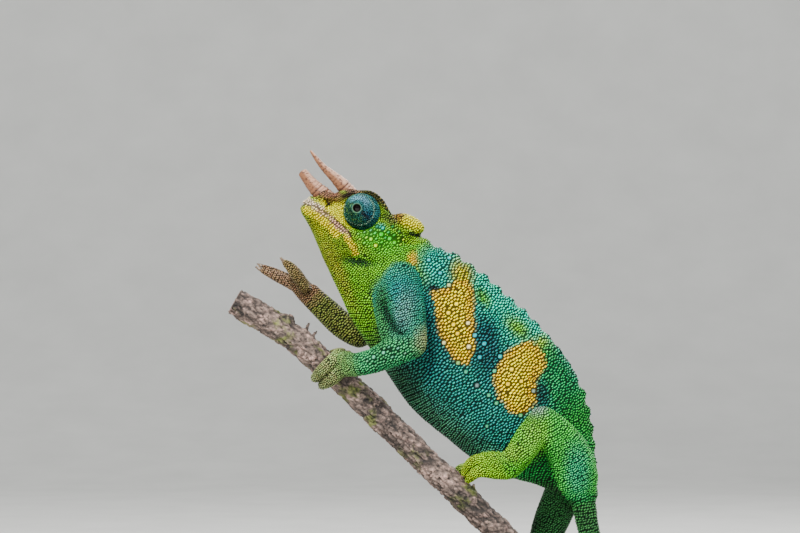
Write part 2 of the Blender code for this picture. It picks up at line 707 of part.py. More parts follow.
def limb(name, pieces, joints, seeds, bundles):
    """A limb parted at its joints, and the bundles of toes that grow from its end.

    A bundle is its name and its toes, and a toe is its line and the direction across it."""
    flesh = fused("limb", pieces, voxel=0.55, smoothing=2, triangles=LIMB_TRIANGLES)
    around = [grown(flesh)]
    for bundle, toes in bundles.items():
        made = fused(
            bundle, [tube("toe", rows, 9, across, step=1.3) for rows, across in toes],
            voxel=0.45, smoothing=1, triangles=TOE_TRIANGLES * len(toes),
        )
        boolean(made, [claw(rows, across) for rows, across in toes], "UNION", "MANIFOLD")
        around.append(grown(made))
        copies = [copied(other) for other in around[:-1]]
        trunk = trunk_between("trunk_cutter", 0.0, TRUNK_END, GAP)
        boolean(made, [trunk, branch_tube("branch_cutter", GAP), *copies], "DIFFERENCE", "MANIFOLD")
        part_into(made, {f"{name}_{bundle}_toes": toes[0][0][-1][:3]}, "skin_green")
    for helper in around:
        bpy.data.objects.remove(helper, do_unlink=True)
    trunk = trunk_between("trunk_cutter", 0.0, TRUNK_END, GAP)
    boolean(flesh, [trunk, branch_tube("branch_cutter", GAP), *joints], "DIFFERENCE")
    part_into(flesh, seeds, "skin_green")


def joint_slab(a, b, share, width=16.0):
    """A cut across a limb between two of its rows."""
    a, b = np.array(a[:3]), np.array(b[:3])
    return slab(a + (b - a) * share, unit(b - a), width)


def halfway(row, place, rise, width):
    """A limb's row half way from another row to a place."""
    return (*((np.array(row[:3]) + place) / 2), rise, width)


def left_arm():
    upper = [
        (-26.6, -6.4, 40.6, 6.6, 5.0), (-25.2, -9.8, 34.0, 6.4, 5.4),
        (-24.0, -12.2, 26.6, 6.1, 5.2), (-22.6, -13.2, 19.6, 5.1, 4.6),
    ]
    inner_fold = [
        (-31.4, -5.6, 38.0, 4.4, 3.4), (-30.8, -8.0, 30.5, 4.6, 3.8), (-29.2, -10.0, 23.0, 4.4, 3.8),
        (-27.0, -11.6, 18.6, 4.0, 3.6),
    ]
    lower = [
        (-22.6, -13.2, 19.0, 5.0, 4.6), (-27.9, -13.4, 16.9, 5.0, 4.4),
        (-35.3, -12.2, 13.4, 4.2, 4.0), (-42.2, -9.9, 11.8, 4.0, 3.7),
    ]
    heel = on_branch(LEFT_HAND_GRIP, 56, 3.2, 1.0)
    palm = [lower[-1], halfway(lower[-1], heel, 4.3, 3.7), (*heel, 4.3, 3.4)]
    across = branch_direction(LEFT_HAND_GRIP)
    outer = [
        (curled_toe(LEFT_HAND_GRIP, (48, 72, 98, 126, 150), (2.6, 2.7, 2.6, 2.2, 1.7), ends), across)
        for ends in ((-1.5, -2.3), (2.5, 1.3))
    ]
    inner = [
        (curled_toe(LEFT_HAND_GRIP, (40, 8, -28, -64, -98), (2.3, 2.2, 2.0, 1.8, 1.35), ends), across)
        for ends in ((-2.0, -3.7), (0.4, 0.0), (2.7, 3.7))
    ]
    joints = [joint_slab(upper[-2], lower[1], 0.52, 18.0), joint_slab(lower[-2], lower[-1], 0.8)]
    seeds = {"left_upper_arm": upper[2][:3], "left_forearm": lower[2][:3], "left_hand": palm[2][:3]}
    flesh = [tube("arm", rows, 12) for rows in (upper, inner_fold, lower, palm)]
    limb("left_hand", flesh, joints, seeds, {"outer": outer, "inner": inner})


def left_leg():
    thigh = [
        (32.4, -2.6, -27.0, 7.4, 5.0), (30.4, -5.6, -19.8, 7.4, 5.4),
        (25.8, -9.6, -12.2, 6.4, 5.2), (20.5, -11.8, -6.4, 5.0, 4.5),
    ]
    shank = [
        (20.5, -11.8, -6.4, 5.0, 4.5), (15.7, -12.3, -12.7, 5.0, 4.4),
        (11.4, -11.4, -19.2, 4.7, 4.2), (9.0, -10.4, -21.6, 4.6, 4.1),
    ]
    foot = [
        (9.0, -10.4, -21.6, 4.6, 4.1), (5.2, -9.0, -21.4, 4.7, 3.9),
        (1.8, -7.6, -21.2, 4.4, 3.8), (0.2, -6.2, -21.6, 4.0, 3.9),
    ]
    across = branch_direction(LEFT_FOOT_GRIP)
    outer = [
        ([
            (1.6, -7.6, -19.7, 2.5), (-1.6, -7.0, -20.0, 2.4), (-4.0, -5.8, -21.8, 2.1),
            (-5.2, -4.6, -24.0, 1.6),
        ], LATERAL),
        ([
            (1.6, -8.0, -22.9, 2.5), (-0.9, -7.6, -23.2, 2.4), (-2.8, -6.4, -24.6, 2.1),
            (-3.9, -5.2, -26.2, 1.6),
        ], LATERAL),
    ]
    inner = [
        (
            [(-1.0, -4.4, -22.4 + rise, 2.2), (-4.4, -1.4, -23.6 + rise, 2.0)]
            + curled_toe(LEFT_FOOT_GRIP, (-22, -48, -74, -98), (1.9, 1.8, 1.6, 1.25), (shift, shift)),
            across,
        )
        for rise, shift in ((0.9, -1.9), (-1.2, 1.9))
    ]
    joints = [joint_slab(thigh[-2], shank[1], 0.5, 30.0), joint_slab(shank[-2], foot[1], 0.5)]
    seeds = {"left_thigh": thigh[1][:3], "left_shank": shank[1][:3], "left_foot": foot[1][:3]}
    flesh = [tube("thigh", thigh, 12), tube("shank", shank, 12), tube("foot", foot, 12)]
    limb("left_foot", flesh, joints, seeds, {"outer": outer, "inner": inner})


def right_arm():
    upper = [
        (-28.6, 6.2, 39.8, 6.3, 4.6), (-30.4, 9.4, 33.4, 5.5, 4.8),
        (-34.6, 11.4, 26.2, 5.2, 4.6), (-40.4, 12.4, 21.6, 4.7, 4.4),
    ]
    lower = [
        (-40.4, 12.4, 21.6, 4.7, 4.4), (-45.2, 12.4, 24.2, 4.7, 4.3),
        (-50.9, 12.0, 29.2, 4.4, 4.0), (-56.0, 11.4, 34.0, 4.0, 3.6),
    ]
    palm = [(-56.0, 11.4, 34.0, 4.0, 3.6), (-58.6, 11.0, 36.6, 3.8, 3.9), (-60.4, 10.8, 38.2, 3.4, 3.8)]
    outer = [
        ([
            (-60.0, 12.4, 37.0, 2.6), (-65.0, 14.2, 39.7, 2.3), (-69.8, 15.2, 41.8, 1.8),
            (-73.4, 15.6, 43.4, 1.2),
        ], LATERAL),
        ([
            (-60.6, 14.0, 38.4, 2.3), (-65.4, 16.2, 40.6, 2.1), (-69.8, 17.6, 42.8, 1.7),
            (-73.0, 18.2, 44.4, 1.2),
        ], LATERAL),
    ]
    inner = [
        ([
            (-58.6, 10.0 + out * 0.6, 37.4, 2.6), (-61.0, 8.2 + out, 41.2, 2.3),
            (-63.2, 6.8 + out, 44.2, 1.9), (-65.0, 6.2 + out, 45.8, 1.4),
        ], LATERAL)
        for out in (-2.7, 0.0, 2.7)
    ]
    joints = [joint_slab(upper[-2], lower[1], 0.52, 18.0), joint_slab(lower[-2], lower[-1], 0.85)]
    seeds = {"right_upper_arm": upper[2][:3], "right_forearm": lower[2][:3], "right_hand": palm[1][:3]}
    flesh = [tube("arm", rows, 12) for rows in (upper, lower, palm)]
    limb("right_hand", flesh, joints, seeds, {"outer": outer, "inner": inner})


def right_leg():
    thigh = [
        (30.0, 4.6, -26.2, 6.6, 5.0), (27.2, 7.4, -33.4, 6.4, 5.0),
        (23.6, 9.6, -42.4, 6.0, 4.8), (20.9, 10.8, -49.2, 4.9, 4.4),
    ]
    shank = [
        (20.9, 10.8, -49.2, 4.9, 4.4), (23.2, 10.9, -54.2, 4.5, 4.0),
        (26.8, 10.4, -58.6, 4.1, 3.7), (29.4, 9.6, -61.2, 3.9, 3.6),
    ]
    heel = on_branch(RIGHT_FOOT_GRIP, -42, 3.0)
    foot = [shank[-1], halfway(shank[-1], heel, 3.9, 3.6), (*heel, 3.9, 3.4)]
    across = branch_direction(RIGHT_FOOT_GRIP)
    outer = [
        (curled_toe(RIGHT_FOOT_GRIP, (-45, -75, -106, -138), (2.2, 2.1, 1.8, 1.4), ends), across)
        for ends in ((-2.8, -3.5), (0.0, 0.0), (2.8, 3.5))
    ]
    inner = [
        (curled_toe(RIGHT_FOOT_GRIP, (-30, 8, 46, 82), (2.3, 2.2, 1.9, 1.4), ends), across)
        for ends in ((-1.9, -2.0), (1.9, 2.0))
    ]
    joints = [joint_slab(thigh[-2], shank[1], 0.55, 18.0), joint_slab(shank[-2], shank[-1], 0.7)]
    seeds = {"right_thigh": thigh[1][:3], "right_shank": shank[1][:3], "right_foot": foot[2][:3]}
    flesh = [tube("thigh", thigh, 12), tube("shank", shank, 12), tube("foot", foot, 12)]
    limb("right_foot", flesh, joints, seeds, {"outer": outer, "inner": inner})


def tail_rows():
    """The whole tail: down from the pelvis, then a tightening curl towards the belly side."""
    rows = [(x, 0.0, z, radius) for x, z, radius in TAIL]
    last = TAIL[-1][2]
    count = round(CURL_TURNS * CURL_ROWS)
    for k in range(1, count + 1):
        angle = k * 2 * math.pi / CURL_ROWS
        radius = CURL_RADIUS * math.exp(-CURL_TIGHTENING * angle)
        share = k / count
        x, z = CURL_CENTRE[0] + radius * math.cos(angle), CURL_CENTRE[1] - radius * math.sin(angle)
        rows.append((x, CURL_LEAN * angle, z, last + (TAIL_TIP - last) * share**0.8))
    return rows


def tail():
    dense = smooth_rows(tail_rows(), step=GAP * 1.3)
    cuts = np.linspace(0, len(dense) - 1, TAIL_LENGTHS + 1).round().astype(int)
    for k, (first, last) in enumerate(zip(cuts, cuts[1:])):
        piece = dense[first + (k > 0): last + 1]
        name = f"tail_{k + 1}"
        made = tube(name, [tuple(row) for row in piece], TAIL_SIDES, step=2.6 if k < 3 else 1.9,
                    start_round=False, end_round=k == TAIL_LENGTHS - 1)
        finish(made, "skin_green")


def stand():
    bottom = -DATUM_HEIGHT
    top = bottom + BASE_THICKNESS
    bm = bmesh.new()
    bmesh.ops.create_cone(bm, cap_ends=True, segments=44, radius1=0.5, radius2=0.5, depth=BASE_THICKNESS)
    size = Matrix.Diagonal((BASE_LENGTH, BASE_WIDTH, 1.0, 1.0))
    bmesh.ops.transform(bm, matrix=Matrix.Translation((0, 0, (bottom + top) / 2)) @ size, verts=bm.verts[:])
    base = object_from("stand_base", bm)
    rounding = base.modifiers.new("rounding", "BEVEL")
    rounding.width = BASE_ROUND * MM
    rounding.segments = 1
    rounding.limit_method = "ANGLE"
    finish(bake(base), "stand_wood")
    foot = top + GAP
    rod_top = on_branch(ROD_PLACE, 180, 0)[2] + 2.0
    rod = turned(
        "stand_rod", [(0, 0), (0, ROD_RADIUS), (rod_top - foot, ROD_RADIUS), (rod_top - foot, 0)],
        (ROD_PLACE, 0, foot), (0, 0, 1), 20,
    )
    finish(boolean(rod, [branch_tube("branch_cutter", GAP)], "DIFFERENCE"), "stand_steel")
    inner = ROD_RADIUS + GAP
    collar = turned(
        "stand_collar",
        [
            (0, inner), (0, COLLAR_RADIUS), (1.6, COLLAR_RADIUS), (COLLAR_HEIGHT, inner + 1.4),
            (COLLAR_HEIGHT, inner), (0, inner),
        ],
        (ROD_PLACE, 0, foot), (0, 0, 1), 24,
    )
    finish(collar, "stand_steel")


clear_scene()
RANDOM = np.random.default_rng(SEED)
MODEL = group("three_horned_chameleon")
WORKSHOP = group("workshop")
torso_and_pelvis()
head()
eyes()
horns()
branch()
left_arm()
right_arm()
left_leg()
right_leg()
tail()
stand()
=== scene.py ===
"""The looks of a three-horned chameleon on its branch: skin, scales, eyes, horns, claws, wood and steel.

Places in the side view are pixels of the photograph's 800 x 533 frame, three to the millimetre, and are
turned into millimetres of the model by side_view. Everything else is in millimetres or, in meshes, metres.
"""

import math

import bmesh
import bpy
import numpy as np
from bpy.props import FloatProperty, FloatVectorProperty, IntProperty, PointerProperty
from mathutils import Matrix, Vector, noise
from mathutils.bvhtree import BVHTree
from mathutils.kdtree import KDTree


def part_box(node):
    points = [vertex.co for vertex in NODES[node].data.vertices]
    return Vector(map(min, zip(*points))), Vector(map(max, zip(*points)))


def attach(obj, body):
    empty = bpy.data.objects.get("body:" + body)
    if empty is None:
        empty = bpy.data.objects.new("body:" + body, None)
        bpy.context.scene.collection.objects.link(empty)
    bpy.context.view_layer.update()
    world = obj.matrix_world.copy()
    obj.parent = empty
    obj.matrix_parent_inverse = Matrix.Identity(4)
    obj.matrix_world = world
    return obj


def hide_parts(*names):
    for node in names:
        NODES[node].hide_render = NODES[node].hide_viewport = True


bl_info = {
    "name": "Three-horned chameleon",
    "version": (1, 0, 0),
    "blender": (4, 5, 0),
    "location": "3D View > Sidebar > Chameleon",
    "description": "Dresses the chameleon's solids in scaled skin, horn, wood and steel",
    "category": "Object",
}

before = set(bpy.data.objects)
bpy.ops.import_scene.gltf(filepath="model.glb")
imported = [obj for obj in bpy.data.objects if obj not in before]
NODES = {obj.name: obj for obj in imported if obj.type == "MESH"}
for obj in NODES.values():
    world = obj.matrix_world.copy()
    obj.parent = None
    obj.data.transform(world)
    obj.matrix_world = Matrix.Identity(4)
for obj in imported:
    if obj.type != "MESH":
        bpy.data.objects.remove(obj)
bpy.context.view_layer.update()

# A millimetre in metres, and the seed that the random draws start from.
MM = 0.001
SEED = 7
# The side view: how high its datum is over the floor in millimetres, its scale, the pixels of the datum and
# of the camera's aim, and the camera's distance in millimetres.
DATUM_HEIGHT = 128.0
PIXELS_PER_MM = 3.0
DATUM_PIXEL = (480.0, 400.0)
AIM_PIXEL = (400.0, 266.5)
CAMERA_DISTANCE = 1200.0

LIMB_NODES = [
    f"{side}_{part}" for side in ("left", "right") for part in (
        "upper_arm", "forearm", "hand", "hand_outer_toes", "hand_inner_toes",
        "thigh", "shank", "foot", "foot_outer_toes", "foot_inner_toes",
    )
]
TAIL_NODES = [f"tail_{k}" for k in range(1, 8)]
SKIN_NODES = ["head", "lower_jaw", "neck", "torso", "pelvis", *TAIL_NODES, *LIMB_NODES]
FACE = ("head", "lower_jaw", "neck")
JAWS = ("head", "lower_jaw")
# The nodes that each piece of the coat covers, and the most triangles that one piece may have.
COAT_GROUPS = {
    "head": FACE,
    "trunk": ("torso", "pelvis"),
    "arm": tuple(n for n in LIMB_NODES if "arm" in n or "hand" in n),
    "leg": tuple(n for n in LIMB_NODES if "thigh" in n or "shank" in n or "foot" in n),
    "tail_": tuple(TAIL_NODES),
}
MOST_TRIANGLES = 190000
# The radius of a scale's patch on the map OFBake.
PATCH_RADIUS = 0.0015
# A scale's number of sides, and its dome's rings as shares of its radius and of its height. Scales of more
# than the plates' spacing are plates. Each foot is sunk into the skin a little. Both are in millimetres.
SCALE_SHAPES = {"scales": (6, [(0.86, 0.62)]), "plates": (10, [(0.87, 0.52), (0.62, 0.86)])}
PLATE_PITCH, SINK = 1.5, 0.06

# The head's own directions, as in the solids: from the snout tip along the mouth line, and to the crown.
SNOUT = np.array([-59.3, 0.0, 64.0 + DATUM_HEIGHT])
HEAD_BACK = np.array([0.8, 0.0, -0.6])
HEAD_UP = np.array([0.6, 0.0, 0.8])
LATERAL = np.array([0.0, 1.0, 0.0])

# The branch's radius and centre line, as X and Z.
BRANCH_RADIUS = 4.85
BRANCH_LINE = [
    (-82.0, 33.0), (-72.7, 27.7), (-60.0, 19.0), (-39.0, 0.0),
    (-16.7, -21.7), (5.7, -43.3), (21.7, -59.0), (38.7, -75.7),
]
BRANCH_WAY = np.array([0.70, 0.0, -0.71])
# Broken twig stubs: foot in the side view, turn from upright in degrees, length and radius in millimetres.
TWIG_STUBS = [
    ((305, 334), 18, 4.2, 1.0), ((311, 338), 40, 3.4, 0.8), ((333, 360), 30, 3.2, 0.9),
    ((396, 424), 215, 3.2, 0.8), ((437, 476), 190, 4.6, 0.9), ((470, 492), 30, 3.2, 0.9),
]
# The bark: how far its pattern is drawn out along the branch, its ridges, plates and lumps to the
# millimetre, and their heights and the sink of the whole in millimetres.
BARK_STRETCH, BARK_GRAIN = 0.6, (0.62, 0.72, 0.12)
RIDGE_DEPTH, PLATE_HEIGHT, LUMP_HEIGHT, BARK_SINK = 0.7, 0.55, 0.5, 0.5
# The bark's tone at the given percentiles of its relief, from cracks to ridges: partly the bark's own
# colour, partly painted shade in the cracks and painted highlight on the ridges.
BARK_LEVELS, BARK_TONE_AND_LIGHT = (3, 30, 60, 97), (0.06, 0.34, 0.76, 1.4)

# The middle of the turret's widest ring: behind the snout, above it and sideways. Then the spacing of the
# granules' rings, and how far the turret leans towards the snout for each millimetre outwards.
EYE_CENTRE = (16.9, 10.9, 6.3)
TURRET_ROWS = 0.58
TURRET_LEAN = 0.42
# The turret's outline: distance outwards from its widest ring, and radius.
TURRET_PROFILE = [
    (-0.4, 5.65), (0.0, 5.85), (0.6, 5.83), (1.2, 5.7), (1.8, 5.45), (2.4, 5.08), (2.9, 4.7), (3.4, 4.25),
    (3.8, 3.8), (4.2, 3.25), (4.5, 2.8), (4.75, 2.35), (4.95, 1.95), (5.08, 1.72), (5.1, 1.5), (4.95, 1.3),
    (4.6, 1.22), (4.0, 1.2),
]
# The turret's markings, each over the one before: how strong it is, and its colour. They are pale dots
# below, a pale blue arc above that is a painted highlight on the lid's upper side, a spot behind the pupil,
# rings at the rim, a dark smear, and the pupil's ring and edge. Then the spacing of the rings at the rim.
TURRET_MARKINGS = {
    "dots": (0.5, "#6C9C44"), "arc": (0.85, "#7CBCD4"), "behind": (0.7, "#1C5484"),
    "rim": (0.75, "#8CB090"), "smear": (0.9, "#1A0C0A"), "ring": (1.0, "#587C64"), "edge": (1.0, "#14140C"),
}
RIM_SPACING = 1.15
# The granules' spacing at radii of the turret, and their sides and rings, as for the scales.
GRANULE_PITCHES = ((1.5, 3.0, 6.0), (0.46, 0.6, 0.74))
GRANULE_SHAPE = (6, [(0.8, 0.7)])
# The number of sides of the turret's shell.
TURRET_SIDES = 64
# The line where the jaws meet: distance behind the snout and level.
MOUTH_LINE = [
    (-6.0, 0.9), (0.0, 1.2), (3.0, 3.0), (6.5, 3.35), (10.4, 3.6), (14.5, 3.5),
    (18.0, 2.8), (20.7, 1.6), (22.6, 0.1), (24.05, -1.8),
]

# The horns' rows of X, Y, Z and radius. The right brow horn mirrors the left.
NOSE_HORN = [
    (-50.2, 0.0, 65.9, 3.4), (-52.3, 0.0, 68.1, 3.1), (-53.8, 0.0, 69.6, 2.75), (-55.1, 0.0, 70.9, 2.4),
    (-56.6, 0.0, 72.6, 2.05), (-58.0, 0.0, 74.4, 1.8), (-59.0, 0.0, 75.8, 1.65),
]
BROW_HORN = [
    (-42.9, -2.9, 68.5, 2.4), (-44.5, -3.1, 70.2, 2.45), (-45.9, -3.3, 71.7, 2.3), (-47.2, -3.5, 73.0, 2.05),
    (-48.5, -3.8, 74.2, 1.75), (-50.2, -4.1, 75.7, 1.45), (-52.0, -4.4, 77.4, 1.15),
    (-54.2, -4.9, 80.0, 0.8), (-56.2, -5.3, 82.7, 0.4),
]

# The horns' rings: their spacing in millimetres and their depth as a share of the radius. Then the angles
# of the rows that round off a horn or a claw, and how blunt the nose horn's end is.
RING_SPACING, RING_DEPTH = 1.25, 0.045
ROUNDED_END = (0.6, 1.1, 1.4)
NOSE_HORN_BLUNTNESS = 0.45
# A claw's radius at shares of its reach, and its length beyond the toe's end.
CLAW_PROFILE = [(0.0, 0.78), (0.35, 0.68), (0.7, 0.42), (1.0, 0.12)]
CLAW_LENGTH = 1.75

# Toes that curl round the branch: where they hold it, their rows' turns round it and radii, and how far
# along the branch each toe starts and ends.
CURLED_TOES = {
    "left_hand_outer_toes": (
        -49.7, (48, 72, 98, 126, 150), (2.6, 2.7, 2.6, 2.2, 1.7), ((-1.5, -2.3), (2.5, 1.3)),
    ),
    "left_hand_inner_toes": (
        -49.7, (40, 8, -28, -64, -98), (2.3, 2.2, 2.0, 1.8, 1.35), ((-2.0, -3.7), (0.4, 0.0), (2.7, 3.7)),
    ),
    "left_foot_inner_toes": (-9.0, (-22, -48, -74, -98), (1.9, 1.8, 1.6, 1.25), ((-1.9, -1.9), (1.9, 1.9))),
    "right_foot_outer_toes": (
        31.7, (-45, -75, -106, -138), (2.2, 2.1, 1.8, 1.4), ((-2.8, -3.5), (0.0, 0.0), (2.8, 3.5)),
    ),
    "right_foot_inner_toes": (31.7, (-30, 8, 46, 82), (2.3, 2.2, 1.9, 1.4), ((-1.9, -2.0), (1.9, 2.0))),
}
# Toes that lie free of the branch, as rows of X, Y, Z and radius.
FREE_TOES = {
    "left_foot_outer_toes": [
        [
            (1.6, -7.6, -19.7, 2.5), (-1.6, -7.0, -20.0, 2.4),
            (-4.0, -5.8, -21.8, 2.1), (-5.2, -4.6, -24.0, 1.6),
        ],
        [
            (1.6, -8.0, -22.9, 2.5), (-0.9, -7.6, -23.2, 2.4),
            (-2.8, -6.4, -24.6, 2.1), (-3.9, -5.2, -26.2, 1.6),
        ],
    ],
    "right_hand_outer_toes": [
        [
            (-60.0, 12.4, 37.0, 2.6), (-65.0, 14.2, 39.7, 2.3),
            (-69.8, 15.2, 41.8, 1.8), (-73.4, 15.6, 43.4, 1.2),
        ],
        [
            (-60.6, 14.0, 38.4, 2.3), (-65.4, 16.2, 40.6, 2.1),
            (-69.8, 17.6, 42.8, 1.7), (-73.0, 18.2, 44.4, 1.2),
        ],
    ],
    "right_hand_inner_toes": [
        [
            (-58.6, 8.4, 37.4, 2.6), (-61.0, 5.5, 41.2, 2.3),
            (-63.2, 4.1, 44.2, 1.9), (-65.0, 3.5, 45.8, 1.4),
        ],
        [
            (-58.6, 10.0, 37.4, 2.6), (-61.0, 8.2, 41.2, 2.3),
            (-63.2, 6.8, 44.2, 1.9), (-65.0, 6.2, 45.8, 1.4),
        ],
        [
            (-58.6, 11.6, 37.4, 2.6), (-61.0, 10.9, 41.2, 2.3),
            (-63.2, 9.5, 44.2, 1.9), (-65.0, 8.9, 45.8, 1.4),
        ],
    ],
}

# The tail's centre line and radius down to its curl, and the curl, as in the solids.
TAIL = [
    (34.75, -34.4, 4.25), (35.6, -40.5, 3.85), (37.8, -49.0, 3.55), (41.4, -58.2, 3.3),
    (45.6, -67.5, 3.1), (49.3, -77.5, 2.95), (51.0, -89.0, 2.8),
]
CURL_CENTRE, CURL_RADIUS, CURL_TIGHTENING, CURL_TURNS = (37.3, -101.5), 13.7, 0.085, 1.7
CURL_LEAN, CURL_ROWS, TAIL_TIP = -0.45, 14, 0.75

# The trunk's back and belly in the side view, as pixels.
BACK_LINE = [
    (412, 232), (437, 246), (459, 258), (484, 276), (511, 300), (540, 327), (565, 357),
    (586, 401), (595, 455), (597, 500),
]
BELLY_LINE = [
    (326, 266), (341, 298), (359, 333), (371, 352), (385, 371), (398, 391), (412, 409), (428, 424),
    (446, 438), (464, 453), (483, 466), (501, 475), (518, 480), (549, 490), (571, 504),
]
# The outlines of the two yellow patches.
YELLOW_PATCHES = [
    [
        (456, 280), (468, 281), (474, 292), (474, 316), (475, 348.6), (468.6, 365.7), (455.7, 361.4),
        (445.7, 347), (438.6, 333), (434.3, 301), (431.4, 291.4), (448.6, 287),
    ],
    [
        (531.4, 340), (544.3, 354.3), (545.7, 367), (535.7, 381), (536.4, 401.4), (524.3, 414.3),
        (511.4, 412.9), (498.6, 397), (492.9, 375.7), (504.3, 355.7), (512.9, 347),
    ],
]

# Colour fields in the side view: middle, half sizes, turn in degrees, colour, how soft the edge is, and the
# nodes that carry it. A later field lies over an earlier one.
TRUNK = ("torso", "pelvis", "neck")
HEAD = ("head", "neck")
ARM = ("left_upper_arm", "left_forearm", "left_hand")
LEG = ("left_thigh", "left_shank", "left_foot", "pelvis")
FIELDS = [
    ("neck", (402, 262), (26, 34), 0, "#6ABF14", 0.5, ("torso", "neck")),
    ("chest", (358, 300), (20, 46), -18, "#6CB010", 0.5, TRUNK),
    ("throat edge", (336, 268), (7, 40), -24, "#8E9A1C", 0.8, ("lower_jaw", "neck", "torso")),
    ("neck patch", (413, 260), (5, 7), 0, "#ECC008", 0.8, TRUNK),
    ("front back", (438, 262), (18, 16), 40, "#14B49A", 0.6, TRUNK),
    ("shoulder", (404, 296), (24, 20), 20, "#128C80", 0.6, TRUNK),
    ("behind the arm", (432, 340), (14, 46), -6, "#0E6C68", 0.6, TRUNK),
    ("between the patches", (487, 345), (15, 34), -8, "#0C5C5E", 0.6, TRUNK),
    ("dark spot", (434, 288), (5, 4), 0, "#10282A", 0.6, TRUNK),
    ("back fleck", (483, 297), (9, 5), 50, "#5CC42E", 0.9, TRUNK),
    ("back flecks", (518, 328), (13, 7), 45, "#74C828", 0.9, TRUNK),
    ("patch tip", (462, 274), (10, 14), -14, "#D4CC0C", 0.7, TRUNK),
    ("patch edge", (542, 344), (8, 7), 40, "#A8C818", 0.9, TRUNK),
    ("beside the patch", (548, 356), (9, 12), 0, "#46AE34", 0.7, TRUNK),
    ("rear flank", (560, 384), (20, 38), -20, "#189450", 0.5, TRUNK),
    ("rear shade", (541, 396), (8, 14), 0, "#145A52", 0.6, TRUNK),
    ("hip", (576, 446), (26, 46), 0, "#249A34", 0.5, TRUNK),
    # Painted highlight: a turquoise sheen over the hip.
    ("hip sheen", (578, 470), (12, 26), 0, "#30BC7C", 0.7, LEG),
    # Painted shade: the darker green under the hip, where the groin lies in shadow.
    ("under the hip", (556, 494), (22, 12), 20, "#25622C", 0.6, TRUNK),
    ("shoulder top", (402, 291), (18, 15), 30, "#149088", 0.7, ARM),
    # Painted highlight: a pale sheen on the upper arm.
    ("arm sheen", (404, 312), (9, 19), 14, "#5C9C90", 0.9, ARM),
    ("inner arm", (382, 318), (8, 34), 0, "#3A9050", 0.6, ARM),
    ("elbow", (425, 341), (9, 12), 0, "#98A870", 0.95, ARM),
    # Painted shade in the fold on the inner side of the upper arm.
    ("arm fold", (390, 320), (4.5, 19), -28, "#1A5238", 0.6, ("left_upper_arm",)),
    ("knee", (536, 408), (11, 10), 0, "#86A89A", 0.7, LEG),
    ("thigh light", (532, 436), (14, 20), 20, "#7ACD36", 0.7, LEG),
    ("shank light", (508, 452), (14, 10), 10, "#8CCF30", 0.7, LEG),
    ("snout side", (334, 212), (20, 14), 36, "#F2EC00", 0.5, ("head",)),
    ("jaw side", (318, 219), (9, 16), -32, "#A4AC00", 0.7, ("head", "lower_jaw")),
    ("snout tip", (307, 202), (8, 5), 20, "#F4DCC0", 0.5, ("head", "lower_jaw")),
    ("horn base", (328, 193), (17, 6.5), 14, "#9A6C50", 0.5, ("head",)),
    ("horn base rim", (330, 200), (13, 2.2), 10, "#6E5416", 0.8, ("head",)),
    ("brow", (374, 197), (24, 5), 30, "#4C4A20", 0.7, ("head",)),
    ("brow horn root", (351, 189), (11, 4.5), 24, "#A87C64", 0.5, ("head",)),
    ("before the eye", (348, 195), (8, 3.6), -24, "#3A2418", 0.6, ("head",)),
    # Painted shade in the nostril's opening.
    ("nostril", (328.6, 204.3), (3.4, 2.0), -10, "#120C08", 0.4, ("head",)),
    ("cheek", (380, 238), (24, 14), 20, "#58C814", 0.4, HEAD),
    ("temple", (391, 217), (9, 9), 30, "#5E7A2C", 0.7, ("head",)),
    ("cheek spot", (381, 227), (5, 2.6), 20, "#2EB890", 0.6, ("head",)),
    ("casque lobe", (412, 220), (16, 9), 24, "#E6DC00", 0.4, HEAD),
    ("casque root", (398, 214), (6, 7), 20, "#8A6A22", 0.7, HEAD),
    # Painted shade under the casque's overhanging lobe.
    ("casque cleft", (415, 235), (9, 2.4), 5, "#0C2010", 0.6, HEAD),
    # Painted shade in the crease at the corner of the jaw.
    ("jaw crease", (359, 262), (15, 3.6), 8, "#14400C", 0.7, ("lower_jaw", "neck", "head")),
]
FOREARM_LINE = [(378, 346), (400, 352), (412, 348)]
# Turned ellipses of the side view, as middle, half sizes and turn: the cheek's fine scales, its lighter bare
# skin, and the casque's plates.
CHEEK, CHEEK_SKIN = ((378, 236), (21, 12), 20), ((380, 238), (23, 13), 20)
CASQUE = ((408, 219), (18, 12), 24)
# Pixels from a line at which the belly's fine scales, its rows and the forearm's large scales begin and are
# at their full.
BELLY_FINE, BELLY_ROWS, FOREARM_LARGE = (34, 8), (48, 16), (14, 4)
# The rows of lip plates in the side view: line, half width, colour.
LIP_ROWS = [
    ([(306, 209), (320, 218), (331, 227), (337, 234)], 4.0, "#F0E000"),
    ([(306, 202), (314, 204), (321, 208.5)], 2.4, "#E8D0B0"),
    ([(315, 209), (325, 213.5), (333, 219.5)], 2.4, "#ECC890"),
    ([(334, 222), (339, 226.5), (344, 231), (348, 235)], 3.0, "#D8A888"),
    ([(346, 237), (350, 242), (353, 248), (355.5, 254)], 3.0, "#DCC80C"),
]
# The spacing and the lift of the crest's lobes, the lift of the beaded collars round the horns' feet, and
# how near the mouth line no scale stands, in millimetres.
LOBE_SPACING, LOBE_LIFT, COLLAR_LIFT, MOUTH_GAP = 5.7, 0.34, 1.2, 0.14
# The pixel level above which the left hand's knuckles are pressed flat, and by what share.
KNUCKLE_LEVEL, KNUCKLE_PRESS = 351, 0.6
# The grooves between one toe and the next: half width and depth in millimetres.
TOE_GROOVE_WIDTH, TOE_GROOVE_DEPTH = 0.75, 0.85
# Flesh that fills the skin round the brow horns' feet: behind the snout, above it, sideways and radius.
HORN_FOOT = (10.8, 12.9, 2.9, 2.5)
# Folds of the skin in the side view: line, half width, depth in millimetres, the nodes that carry it.
FOLDS = [
    ([(345, 257), (357, 262), (374, 262.5)], 4.5, 1.0, ("lower_jaw", "neck", "head")),
    ([(383.7, 303), (385, 312), (391, 325), (396, 333), (404, 335)], 3.0, 1.5, ARM),
    ([(408, 233), (416, 235), (424, 235)], 2.0, 0.9, ("head", "neck")),
]

